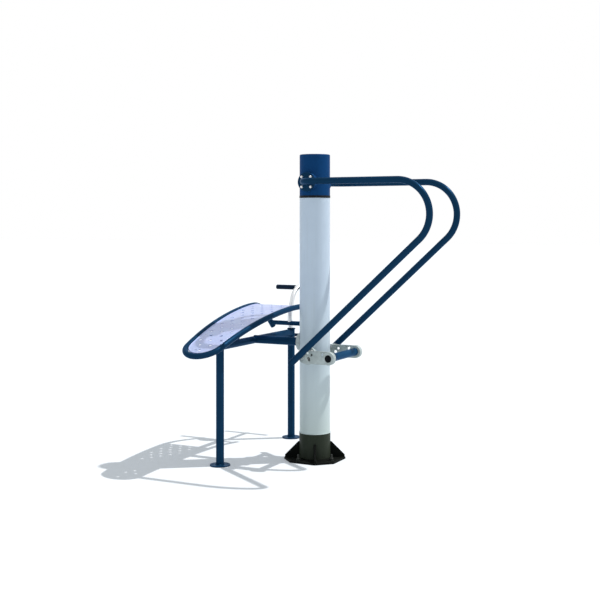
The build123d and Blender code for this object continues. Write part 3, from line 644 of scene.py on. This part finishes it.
# Post and head: the round post, the dark joint, the head tube with its cap and the two saddles.
# Steel tube sprayed silver; the head is a blue sleeve of the same size, set on a dark sealing ring.
# Each saddle is a cast pad between the round head and a bar's flange, held by four bright bolts.
post_radius = 0.100
head_top = 1.977
bar_height = 1.815
flange_face = 0.128
flange_bolt_spread = 0.0325
flange_bolt_radius = 0.0085
flange_bolt_height = 0.007
flange_bolt_washer = 0.0088
foot_seal_rise = 0.0012
foot_seal_gap = 0.0006
foot_seal_size = 0.0026
cap_seam_inset = 0.0004
cap_seam_size = 0.0011
post_steps = 120

post_paint = painted(
    "post_paint", colour=(0.60, 0.70, 0.81), deep=(0.565, 0.66, 0.765), bare=(0.36, 0.38, 0.38),
    dirt=(0.38, 0.42, 0.38), roughness=(0.38, 0.46), peel=0.00003, metal=0.2, shine=0.3, streak=0.16,
    patch=3.0, dusty=0.3, foot=(0.55, 0.63, 0.61))
head_paint = painted(
    "head_paint", colour=(0.0076, 0.052, 0.160), deep=(0.0086, 0.059, 0.182), bare=(0.05, 0.09, 0.16),
    dirt=(0.05, 0.08, 0.11), roughness=(0.38, 0.45), peel=0.00003, metal=0.15, shine=0.03, streak=0.08,
    dusty=0.04, glint=(0.3, 0.6, 1.0))
seal = painted(
    "seal", colour=(0.006, 0.008, 0.010), deep=(0.010, 0.012, 0.014), bare=(0.02, 0.02, 0.02),
    dirt=(0.04, 0.04, 0.04), roughness=(0.5, 0.65), shine=0.15, dusty=0.1)
dress(post_paint, "post_tube", "inner_spigot")
foot_line = ring_line((0, 0, sleeve_top + foot_seal_rise), (0, 0, 1), post_radius + foot_seal_gap, post_steps)
weld("foot_seal", [foot_line], post_paint, "post_silver", foot_seal_size)
dress(seal, "joint_ring")
dress(head_paint, "head_tube", "top_cap", "upper_saddle_near", "upper_saddle_far")


def bright(name, tone, roughness, grain=1.0):
    """Plain steel with fine brushing, faint stains and edges rounded to the eye."""
    material, tree, shader, place = new_finish(name)
    weather = use(tree, weathering, place, Patch_Size=22.0)
    edges = use(tree, edge_wear, place, Edge_Size=0.0006)
    lines = noise(tree, stretched(tree, place, (1.0, 0.04, 1.0)), 900, 2)
    dull = tuple(0.72 * part for part in tone)
    colour = blend(tree, weather["Patches"], tone, tuple(0.88 * part for part in tone))
    colour = blend(tree, times(tree, weather["Streaks"], 0.5), colour, dull)
    rough = spread(tree, weather["Patches"], 0, 1, *roughness)
    rough = sum_node(tree, "MULTIPLY_ADD", lines, 0.12 * grain, rough)
    feed(shader, Base_Color=colour, Roughness=rough, Metallic=1.0)
    emboss(tree, shader, lines, 0.5, 0.00003, edges["Normal"])
    return material


bolt_steel = bright("bolt_steel", tone=(0.72, 0.73, 0.74), roughness=(0.18, 0.32))


def hex_bolt(radius, height, washer):
    """A hexagon head on its pressed washer."""
    shape = bmesh.new()
    thin = height * 0.16
    inner = radius * 0.4
    skirt = [(inner, -0.002), (washer, -0.002), (washer, thin * 0.7), (washer * 0.97, thin), (inner, thin)]
    add_turned(shape, Matrix(), skirt, 28)
    add_hex(shape, Matrix.Translation((0, 0, thin)), radius, height - thin)
    return mesh_of("hex_bolt", shape)


cap_line = ring_line((0, 0, head_top), (0, 0, 1), post_radius - cap_seam_inset, post_steps)
weld("cap_seam", [cap_line], head_paint, "head_blue", cap_seam_size)


def pads_of_four(x, y, z, reach):
    """Four places round the middle of each pad, on both sides of the post, with the way that each looks."""
    corners = [(side, across, up) for side in (-1, 1) for across in (-1, 1) for up in (-1, 1)]
    spots = [(x + across * reach, side * y, z + up * reach) for side, across, up in corners]
    return spots, [(0, side, 0) for side, across, up in corners]


flange_spots, flange_ways = pads_of_four(0, flange_face, bar_height, flange_bolt_spread)
flange_bolt = hex_bolt(flange_bolt_radius, flange_bolt_height, flange_bolt_washer)
place_copies(
    "flange_bolts", flange_bolt, flange_spots, flange_ways, bolt_steel, "bright_steel", "upper_bolts")


# Dip bars: one bent tube a side, from its round flange out, along the grip, round and down to the bracket.
# Cold-bent steel tube, welded to a thick flange and sprayed dark blue all over, with a plug in its foot.
bar_radius = 0.0212
bar_offset = 0.2535
bar_slope = math.radians(42.55)
bar_foot_height = 0.694
bar_tail = 0.056
bar_root_sink = 0.002
bar_elbow_bend = 0.110
bar_grip_bend = 0.210
flange_radius = 0.062
flange_thickness = 0.010
flange_back_round = 0.0012
flange_face_round = 0.002
flange_back_bore = 0.030
flange_face_bore = 0.018
flange_seam = 0.004
plug_sink = 0.004
plug_core = 0.86
bar_plug_lip = 0.003

tube_look = {
    "bare": (0.03, 0.08, 0.16), "dirt": (0.010, 0.044, 0.095), "roughness": (0.30, 0.37), "peel": 0.00002,
    "metal": 0.3, "shine": 0.03, "streak": 0.08, "patch": 6.0, "dusty": 0.06, "glint": (0.3, 0.62, 1.0)}
tube_paint = painted("tube_paint", colour=(0.0066, 0.035, 0.080), deep=(0.0076, 0.039, 0.091), **tube_look)
plug_rubber = painted(
    "plug_rubber", colour=(0.004, 0.005, 0.008), deep=(0.007, 0.009, 0.012), bare=(0.02, 0.02, 0.02),
    dirt=(0.05, 0.05, 0.05), roughness=(0.45, 0.6), shine=0.02, dusty=0.03)


def bent_line(points, bends, step=math.radians(3)):
    """Points along straight runs and the round bends between them."""
    points = [Vector(point) for point in points]
    line = [points[0]]
    for before, corner, after, bend in zip(points, points[1:], points[2:], bends):
        inward = (corner - before).normalized()
        outward = (after - corner).normalized()
        turn = inward.angle(outward)
        middle = (outward - inward * math.cos(turn)).normalized()
        first = corner - inward * bend * math.tan(turn / 2)
        centre = first + middle * bend
        count = max(4, round(turn / step))
        for k in range(count + 1):
            a = turn * k / count
            line.append(centre - middle * bend * math.cos(a) + inward * bend * math.sin(a))
    return line + [points[-1]]


def add_tube(shape, line, radius, sides=40):
    """A round tube's skin along a line, with flat ends."""
    rings = []
    side = (line[1] - line[0]).orthogonal().normalized()
    for k, spot in enumerate(line):
        run = (line[min(k + 1, len(line) - 1)] - line[max(k - 1, 0)]).normalized()
        side = (side - run * side.dot(run)).normalized()
        other = run.cross(side)
        rings.append([spot + (side * math.cos(a) + other * math.sin(a)) * radius for a in turns_round(sides)])
    add_rings(shape, rings)


def aimed(spot, way):
    """A place whose own Z looks along a way."""
    return Matrix.Translation(spot) @ Vector(way).to_track_quat("Z", "Y").to_matrix().to_4x4()


def add_plug(shape, spot, way, radius, lip):
    """A plug's low dome over a tube's end."""
    core = radius * plug_core
    rise = lip * 0.45
    steps = [(0, -plug_sink), (core, -plug_sink), (core, 0.0), (radius, 0.0), (radius, rise)]
    steps += [(radius * math.cos(a), rise + (lip - rise) * math.sin(a)) for a in (0.35, 0.7, 1.05, 1.3)]
    add_turned(shape, aimed(spot, way), steps + [(0, lip)], 32)


def dip_bar_line(side):
    """From the flange out, along the grip and down past the bracket."""
    y = side * bar_offset
    corner_x = (bar_height - bar_foot_height) / math.tan(bar_slope)
    foot = Vector((0, y, bar_foot_height)) - Vector((math.cos(bar_slope), 0, math.sin(bar_slope))) * bar_tail
    root = (0, side * (flange_face - bar_root_sink), bar_height)
    corners = [root, (0, y, bar_height), (corner_x, y, bar_height), foot]
    return bent_line(corners, (bar_elbow_bend, bar_grip_bend))


flange_back = flange_face - flange_thickness
flange_edge = [
    (flange_back_bore, flange_back), (flange_radius - flange_back_round, flange_back),
    (flange_radius, flange_back + flange_back_round), (flange_radius, flange_face - flange_face_round),
    (flange_radius - flange_face_round, flange_face), (flange_face_bore, flange_face)]
bar_plugs = bmesh.new()
for side, name, old in ((-1, "near_dip_bar", "dip_bar_near"), (1, "far_dip_bar", "dip_bar_far")):
    shape = bmesh.new()
    line = dip_bar_line(side)
    add_tube(shape, line, bar_radius)
    add_turned(shape, aimed((0, 0, bar_height), (0, side, 0)), flange_edge, 72)
    fit(name, mesh_of(name, shape), tube_paint, "tube_blue", old)
    seam = ring_line((0, side * flange_face, bar_height), (0, 1, 0), bar_radius)
    weld(name + "_seam", [seam], tube_paint, "tube_blue", flange_seam)
    add_plug(bar_plugs, line[-1], line[-1] - line[-2], bar_radius, bar_plug_lip)
fit("dip_bar_plugs", mesh_of("dip_bar_plugs", bar_plugs), plug_rubber, "plug_black", "bar_end_plugs")


# Lower brackets and rung: two mirrored cast brackets that hold the bars' feet, and a foot rung between them.
# Each is one aluminium casting with a round pad on the post, a neck and a dished cheek, left as cast.
# The rung is a blue tube bolted through the hubs, under round black plugs.
rung_x = 0.201
rung_z = 0.692
hub_plug_radius = 0.0232
hub_plug_face = 0.2195
hub_plug_depth = 0.0150
hub_plug_round = 0.0012
pad_x = 0.003
pad_z = 0.690
pad_face = 0.112
pad_screw_spread = 0.0325
clamp_along = 0.036
cheek_inner = 0.188
pad_screw = {"radius": 0.007, "height": 0.0045, "key": 0.003, "depth": 0.0025}
clamp_bolt = {"radius": 0.008, "height": 0.006, "washer": 0.0084}
casting_grain = 0.0018
casting_flow = 0.5
casting_flow_rounds = 4
# Painted shade inside each bracket: where it starts and ends to the side, and how far it reaches round the
# pad.
painted_shade_start = (0.100, 0.108)
painted_shade_end = (0.186, 0.172)
painted_shade_reach = (0.060, 0.034)


def cast(name, node, material, slot, grain=casting_grain):
    """A casting: the CAD solid with every edge and corner flowed round, as molten metal leaves them."""
    shape = bmesh.new()
    shape.from_mesh(nodes[node].data)
    bmesh.ops.remove_doubles(shape, verts=shape.verts, dist=0.00001)
    mesh = bpy.data.meshes.new(name)
    shape.to_mesh(mesh)
    shape.free()
    rough = stand(name, mesh)
    melt = rough.modifiers.new("melt", "REMESH")
    melt.mode = "VOXEL"
    melt.voxel_size = grain
    flow = rough.modifiers.new("flow", "SMOOTH")
    flow.factor = casting_flow
    flow.iterations = casting_flow_rounds
    made = settled(name, rough)
    smooth(made)
    fit(name, made, material, slot, node)


def cast_metal():
    """Sand-cast aluminium: grainy, dull, darker in patches, with a few pores and painted shade inside."""
    material, tree, shader, place = new_finish("cast_metal")
    weather = use(tree, weathering, place, Patch_Size=26.0)
    lying = use(tree, dust, place)["Dust"]
    tone = blend(tree, weather["Patches"], (0.48, 0.545, 0.54), (0.36, 0.41, 0.40))
    tone = blend(tree, times(tree, weather["Specks"], 0.35), tone, (0.12, 0.13, 0.12))
    tone = blend(tree, times(tree, lying, 0.35), tone, (0.24, 0.23, 0.20))
    # Painted shade: the bracket's inside, between the post's pad and the cheek, is darkened to near black.
    spot = axes(tree, place)
    beside = sum_node(tree, "ABSOLUTE", spot["Y"])
    across = sum_node(tree, "POWER", sum_node(tree, "SUBTRACT", spot["X"], pad_x), 2.0)
    above = sum_node(tree, "POWER", sum_node(tree, "SUBTRACT", spot["Z"], pad_z), 2.0)
    around = sum_node(tree, "SQRT", sum_node(tree, "ADD", across, above))
    along = times(tree, spread(tree, beside, *painted_shade_start), spread(tree, beside, *painted_shade_end))
    within = times(tree, along, spread(tree, around, *painted_shade_reach))
    painted_shade_mask = times(tree, within, spread(tree, weather["Patches"], 0, 1, 0.72, 0.92))
    rough = spread(tree, weather["Patches"], 0, 1, 0.42, 0.6)
    feed(shader, Base_Color=blend(tree, painted_shade_mask, tone, (0.026, 0.028, 0.026)), Roughness=rough, Metallic=0.35)
    relief = sum_node(tree, "MULTIPLY_ADD", noise(tree, place, 120, 2), 1.2, noise(tree, place, 700, 3, 0.6))
    emboss(tree, shader, relief, 0.7, 0.00025)
    return material


casting = cast_metal()
cast("near_bracket", "lower_bracket_near", casting, "cast_alloy")
cast("far_bracket", "lower_bracket_far", casting, "cast_alloy")
# The rung's paint is a little paler than the bars': painted light, for the sun on the rung.
lit_rung_paint = painted("lit_rung_paint", colour=(0.0070, 0.051, 0.118), deep=(0.0080, 0.057, 0.132), **tube_look)
dress(lit_rung_paint, "rung_tube")
dress(bolt_steel, "rung_bolts", "rung_inserts")


def socket_screw(radius, height, key, depth):
    """A low round head with a six-sided socket for its key."""
    shape = bmesh.new()
    rings = []
    angles = turns_round(24)
    dome = ((0.8, -0.002), (0.8, 0), (1, 0.0002), (1, height * 0.4), (0.95, height * 0.72))
    for share, level in dome + ((0.82, height * 0.93), (0.68, height)):
        rings.append([polar(radius * share, angle, level) for angle in angles])
    for level in (height, height - depth):
        ring = []
        for angle in angles:
            reach = key * math.cos(math.pi / 6) / math.cos((angle % (math.pi / 3)) - math.pi / 6)
            ring.append(polar(reach, angle, level))
        rings.append(ring)
    add_rings(shape, rings)
    return mesh_of("socket_screw", shape)


pad_spots, pad_ways = pads_of_four(pad_x, pad_face, pad_z, pad_screw_spread)
place_copies(
    "pad_screws", socket_screw(**pad_screw), pad_spots, pad_ways, bolt_steel,
    "bright_steel", "bracket_screws")
clamp_x = clamp_along * math.cos(bar_slope)
clamp_z = bar_foot_height + clamp_along * math.sin(bar_slope)
clamp_spots = [(clamp_x, side * cheek_inner, clamp_z) for side in (-1, 1)]
clamp_ways = [(0, -side, 0) for side in (-1, 1)]
place_copies(
    "clamp_bolts", hex_bolt(**clamp_bolt), clamp_spots, clamp_ways, bolt_steel, "bright_steel",
    "bar_clamp_bolts", seed=3)

hub_disc = [
    (0, -hub_plug_depth), (hub_plug_radius, -hub_plug_depth), (hub_plug_radius, -hub_plug_round),
    (hub_plug_radius - hub_plug_round, 0.0), (hub_plug_radius - 0.005, -0.0006),
    (hub_plug_radius - 0.007, -0.0003), (0.006, 0.0), (0, 0.0)]
hub_discs = bmesh.new()
for side in (-1, 1):
    add_turned(hub_discs, aimed((rung_x, side * hub_plug_face, rung_z), (0, side, 0)), hub_disc, 48)
fit("hub_covers", mesh_of("hub_covers", hub_discs), plug_rubber, "plug_black", "hub_plugs")


# Bench frame: two legs on round flanges, a long beam between them and a cross beam to the post.
# Steel tube, cut to fit and welded, sprayed the same dark blue. The cross beam slips on a cast saddle.
bench_x = -0.455
near_leg_y = -0.446
far_leg_y = 0.535
leg_radius = 0.0255
beam_radius = 0.025
beam_z = 0.760
cross_z = 0.764
beam_pad_face = 0.113
leg_flange_top = 0.008
far_leg_top = 0.785
frame_seam = 0.0038

dress(tube_paint, "near_leg", "far_leg", "near_leg_flange", "far_leg_flange")
dress(tube_paint, "leg_top_cap", "bench_beam", "cross_beam")
cast("beam_pad", "beam_saddle", casting, "cast_alloy")
beam_screw_spots = [
    (-beam_pad_face, across * pad_screw_spread, cross_z + up * pad_screw_spread)
    for across in (-1, 1) for up in (-1, 1)]
place_copies(
    "beam_pad_screws", socket_screw(**pad_screw), beam_screw_spots, [(-1, 0, 0)] * 4, bolt_steel,
    "bright_steel", "beam_saddle_screws")
frame_seams = [
    ring_line((bench_x, near_leg_y, leg_flange_top), (0, 0, 1), leg_radius),
    ring_line((bench_x, far_leg_y, leg_flange_top), (0, 0, 1), leg_radius),
    saddle_line((bench_x, near_leg_y, beam_z), (0, 1, 0), (0, 0, 1), beam_radius, leg_radius),
    saddle_line((bench_x, far_leg_y, beam_z), (0, -1, 0), (0, 0, 1), beam_radius, leg_radius),
    ring_line((bench_x, far_leg_y, far_leg_top), (0, 0, 1), leg_radius + 0.0008),
]
weld("frame_seams", frame_seams, tube_paint, "tube_blue", frame_seam)


# Bench: a bent rail round a rolled sheet with punched holes, on two cross tubes.
# The rail is one blue tube; the sheet is painted pale blue, and each hole has a pressed rim.
rail_radius = 0.019
rail_tip_y = -0.747
rail_tip_z = 0.732
rail_rise = 23.2
arch_bends = ((2.7, 16.2), (3.29, 5.6), (1.537, 0.0), (0.2, -53.0))
side_bends = ((0.1226, 4.63), (24.6, 2.5), (0.8, -16.0))
side_steps = (60, 60, 36)
hole_radius = 0.011
hole_pitch = 0.076
row_pitch = 0.066
first_row = -0.690
last_row = 0.300
hole_margin = 0.016
sheet_rise = 0.006
sheet_thickness = 0.003
sheet_end = 0.335
lip_inset = 0.0225
lip_radius = 0.0032
rear_tube_y = 0.514
cross_tube_radius = 0.016
cross_tube_gap = 0.0003
rail_plug_lip = 0.006
bench_seam = 0.003


def chain(start_y, start_height, heading, bends):
    """The arcs of a line that bends one way: centre, radius, first and last heading."""
    y, height, arcs = start_y, start_height, []
    for radius, last in bends:
        centre_y = y + radius * math.sin(math.radians(heading))
        centre_height = height - radius * math.cos(math.radians(heading))
        arcs.append((centre_y, centre_height, radius, heading, last))
        y = centre_y - radius * math.sin(math.radians(last))
        height = centre_height + radius * math.cos(math.radians(last))
        heading = last
    return arcs


def on_arc(arc, heading):
    centre_y, centre_height, radius, first, last = arc
    turn = math.radians(heading)
    return centre_y - radius * math.sin(turn), centre_height + radius * math.cos(turn)


arch = chain(rail_tip_y, rail_tip_z, rail_rise, arch_bends)
flank = chain(rail_tip_y, 0.0, 90.0, side_bends)


def arch_at(y):
    """Height and slope of the bench above a place along its length."""
    for arc in arch:
        centre_y, centre_height, radius, first, last = arc
        if y <= on_arc(arc, last)[0]:
            slope = math.asin(max(-1.0, min(1.0, (centre_y - y) / radius)))
            return centre_height + radius * math.cos(slope), slope
    end_y, end_height = on_arc(arch[-1], arch[-1][4])
    slope = math.radians(arch[-1][4])
    return end_height + (y - end_y) * math.tan(slope), slope


def half_width(y):
    """Reach of the rail to either side at a place along its length."""
    for arc in flank:
        centre_y, centre_width, radius, first, last = arc
        if y <= on_arc(arc, last)[0]:
            turn = math.asin(max(-1.0, min(1.0, (centre_y - y) / radius)))
            return centre_width + radius * math.cos(turn)
    return on_arc(flank[-1], flank[-1][4])[1]


def rail_line():
    """From the left end round the tip to the right end."""
    right = []
    for arc, steps in zip(flank, side_steps):
        for step in range(steps):
            right.append(on_arc(arc, arc[3] + (arc[4] - arc[3]) * step / steps))
    right.append(on_arc(flank[-1], flank[-1][4]))
    left = [(y, -width) for y, width in right[:0:-1]]
    return [Vector((bench_x + width, y, arch_at(y)[0])) for y, width in left + right]


rail = rail_line()
shape = bmesh.new()
add_tube(shape, rail, rail_radius)
fit("bent_rail", mesh_of("bent_rail", shape), tube_paint, "tube_blue", "bench_rail")
rail_plugs = bmesh.new()
add_plug(rail_plugs, rail[0], rail[0] - rail[1], rail_radius, rail_plug_lip)
add_plug(rail_plugs, rail[-1], rail[-1] - rail[-2], rail_radius, rail_plug_lip)
fit("rail_plugs", mesh_of("rail_plugs", rail_plugs), plug_rubber, "plug_black", "rail_end_plugs")
dress(tube_paint, "front_cross_tube", "rear_cross_tube")


def panel_holes():
    """Places of the holes on the sheet, in staggered rows, with the way that each looks."""
    spots, ways = [], []
    rows = math.floor((last_row - first_row) / row_pitch)
    for row in range(rows + 1):
        y = first_row + row * row_pitch
        room = half_width(y) - rail_radius - hole_radius - hole_margin
        shift = hole_pitch / 2 * (row % 2)
        count = math.floor((room - shift) / hole_pitch)
        z, slope = arch_at(y)
        normal = Vector((0, -math.sin(slope), math.cos(slope)))
        for k in range(-count - row % 2, count + 1):
            lift = sheet_rise / math.cos(slope)
            spots.append(Vector((bench_x + shift + k * hole_pitch, y, z + lift)))
            ways.append(tuple(normal))
    return spots, ways


def panel_paint():
    """Pale blue paint on rolled sheet: chalky, scuffed in patches, with rain marks and small chips; its
    flecks are partly painted highlight and shade.
    """
    material, tree, shader, place = new_finish("panel_paint")
    weather = use(tree, weathering, place, Patch_Size=14.0)
    edges = use(tree, edge_wear, place, Edge_Size=0.0008)
    tone = blend(tree, weather["Patches"], (0.44, 0.54, 0.84), (0.49, 0.53, 0.80))
    # Pale flecks: partly scuffs, partly painted highlight for the bright floor and sheen seen through the
    # holes.
    scuffs_and_painted_light = spread(tree, noise(tree, place, 62, 4, 0.7, 0.6), 0.60, 0.66)
    tone = blend(tree, times(tree, scuffs_and_painted_light, 0.7), tone, (0.80, 0.86, 0.97))
    # Dark flecks: partly stains, partly painted shade for the shaded holes.
    stains = spread(tree, noise(tree, place, 44, 5, 0.7, 0.9), 0.62, 0.67)
    tone = blend(tree, times(tree, stains, 0.6), tone, (0.13, 0.17, 0.28))
    tone = blend(tree, times(tree, weather["Specks"], 0.5), tone, (0.16, 0.19, 0.28))
    tone = blend(tree, edges["Wear"], tone, (0.75, 0.78, 0.86))
    feed(shader, Base_Color=tone, Roughness=spread(tree, weather["Patches"], 0, 1, 0.30, 0.46))
    feed(shader, Metallic=0.45, Coat_Weight=0.2, Coat_Roughness=0.15)
    emboss(tree, shader, weather["Peel"], 0.5, 0.00005, edges["Normal"])
    return material


sheet_paint = panel_paint()
dress(sheet_paint, "bench_panel")
rim_section = (
    (-0.0006, -0.0024), (-0.0006, 0.0016), (0.0004, 0.0026), (0.0022, 0.0024), (0.0042, 0.0014),
    (0.0042, 0.0008), (0.0006, -0.0024))
rim = bmesh.new()
add_turned(rim, Matrix(), [(hole_radius + out, height) for out, height in rim_section], 28)
hole_spots, hole_ways = panel_holes()
rim_mesh = mesh_of("rim", rim, 50)
place_copies("hole_rims", rim_mesh, hole_spots, hole_ways, sheet_paint, "panel_paint", turn=0.0)


def lip_line(side):
    """The sheet's rolled lip along one side, from the bench's tip to the sheet's end."""
    points = []
    for arc, steps in zip(flank, side_steps):
        centre_y, centre_width, radius, first, last = arc
        inner = (centre_y, centre_width, radius - lip_inset, first, last)
        for step in range(steps):
            y, width = on_arc(inner, first + (last - first) * step / steps)
            if y < sheet_end:
                z, slope = arch_at(y)
                top = z + sheet_rise / math.cos(slope) + sheet_thickness / 2
                points.append(Vector((bench_x + side * width, y, top)))
    return points


shape = bmesh.new()
add_tube(shape, lip_line(-1)[:0:-1] + lip_line(1), lip_radius, 14)
fit("sheet_lip", mesh_of("sheet_lip", shape), sheet_paint, "panel_paint")

front_z, front_slope = arch_at(near_leg_y)
front_z -= (cross_tube_radius + sheet_thickness / 2 + cross_tube_gap - sheet_rise) / math.cos(front_slope)
rear_z = arch_at(rear_tube_y)[0]
bench_seams = []
for y, z in ((near_leg_y, front_z), (rear_tube_y, rear_z)):
    for side in (-1, 1):
        root = (bench_x + side * half_width(y), y, z)
        bench_seams.append(saddle_line(root, (-side, 0, 0), (0, 1, 0), cross_tube_radius, rail_radius))
weld("bench_seams", bench_seams, tube_paint, "tube_blue", bench_seam)


# Ankle bar and foot bar: a bright bent mast from the far leg's cap and a level arm from the leg's side,
# each with a roller on both sides of its tip. Polished stainless tube, welded to the cap and to the leg,
# with its axle through the tip; the rollers are dark blue plastic sleeves.
mast_radius = 0.017
mast_foot = (bench_x, 0.527, 0.791)
mast_knee = (bench_x, 0.508, 0.890)
mast_crown = (bench_x, 0.5735, 1.053)
ankle = (bench_x, 0.640, 1.077)
mast_tip = 0.018
mast_knee_bend = 0.220
mast_crown_bend = 0.150
mast_bend_step = math.radians(2)
mast_plug_lip = 0.004
foot_bar_z = 0.706

mast_steel = bright("mast_steel", tone=(0.76, 0.78, 0.80), roughness=(0.26, 0.38), grain=0.6)
mast_run = (Vector(ankle) - Vector(mast_crown)).normalized()
mast_end = Vector(ankle) + mast_run * mast_tip
mast_bends = (mast_knee_bend, mast_crown_bend)
mast_line = bent_line([mast_foot, mast_knee, mast_crown, mast_end], mast_bends, mast_bend_step)
shape = bmesh.new()
add_tube(shape, mast_line, mast_radius)
fit("bent_mast", mesh_of("bent_mast", shape), mast_steel, "bright_steel", "mast")
tip = bmesh.new()
add_plug(tip, mast_line[-1], mast_run, mast_radius, mast_plug_lip)
fit("mast_cover", mesh_of("mast_cover", tip), mast_steel, "bright_steel", "mast_tip_plug")
mast_seams = [
    ring_line(mast_foot, (0, 0, 1), mast_radius),
    saddle_line((bench_x, far_leg_y, foot_bar_z), (0, 1, 0), (0, 0, 1), mast_radius, leg_radius),
]
weld("mast_seams", mast_seams, tube_paint, "tube_blue", bench_seam)
dress(mast_steel, "foot_arm", "foot_arm_plug", "ankle_axle", "foot_axle", "roller_washers")


def roller_plastic():
    """Moulded plastic with a fine grain, a little chalky from the weather and smoother in patches."""
    material, tree, shader, place = new_finish("roller_plastic")
    weather = use(tree, weathering, place, Patch_Size=30.0)
    tone = blend(tree, weather["Patches"], (0.0045, 0.014, 0.034), (0.007, 0.019, 0.044))
    tone = blend(tree, times(tree, weather["Specks"], 0.3), tone, (0.05, 0.07, 0.10))
    feed(shader, Base_Color=tone, Roughness=spread(tree, weather["Patches"], 0, 1, 0.38, 0.55))
    feed(shader, Specular_IOR_Level=0.1, Specular_Tint=(0.5, 0.7, 1.0, 1))
    grain = add_node(tree, "ShaderNodeTexVoronoi", Vector=place, Scale=650)
    emboss(tree, shader, grain.outputs["Distance"], 0.5, 0.00012)
    return material


roller_skin = roller_plastic()
dress(roller_skin, "ankle_roller_left", "ankle_roller_right", "roller_end_caps")
dress(roller_skin, "foot_roller_left", "foot_roller_right")
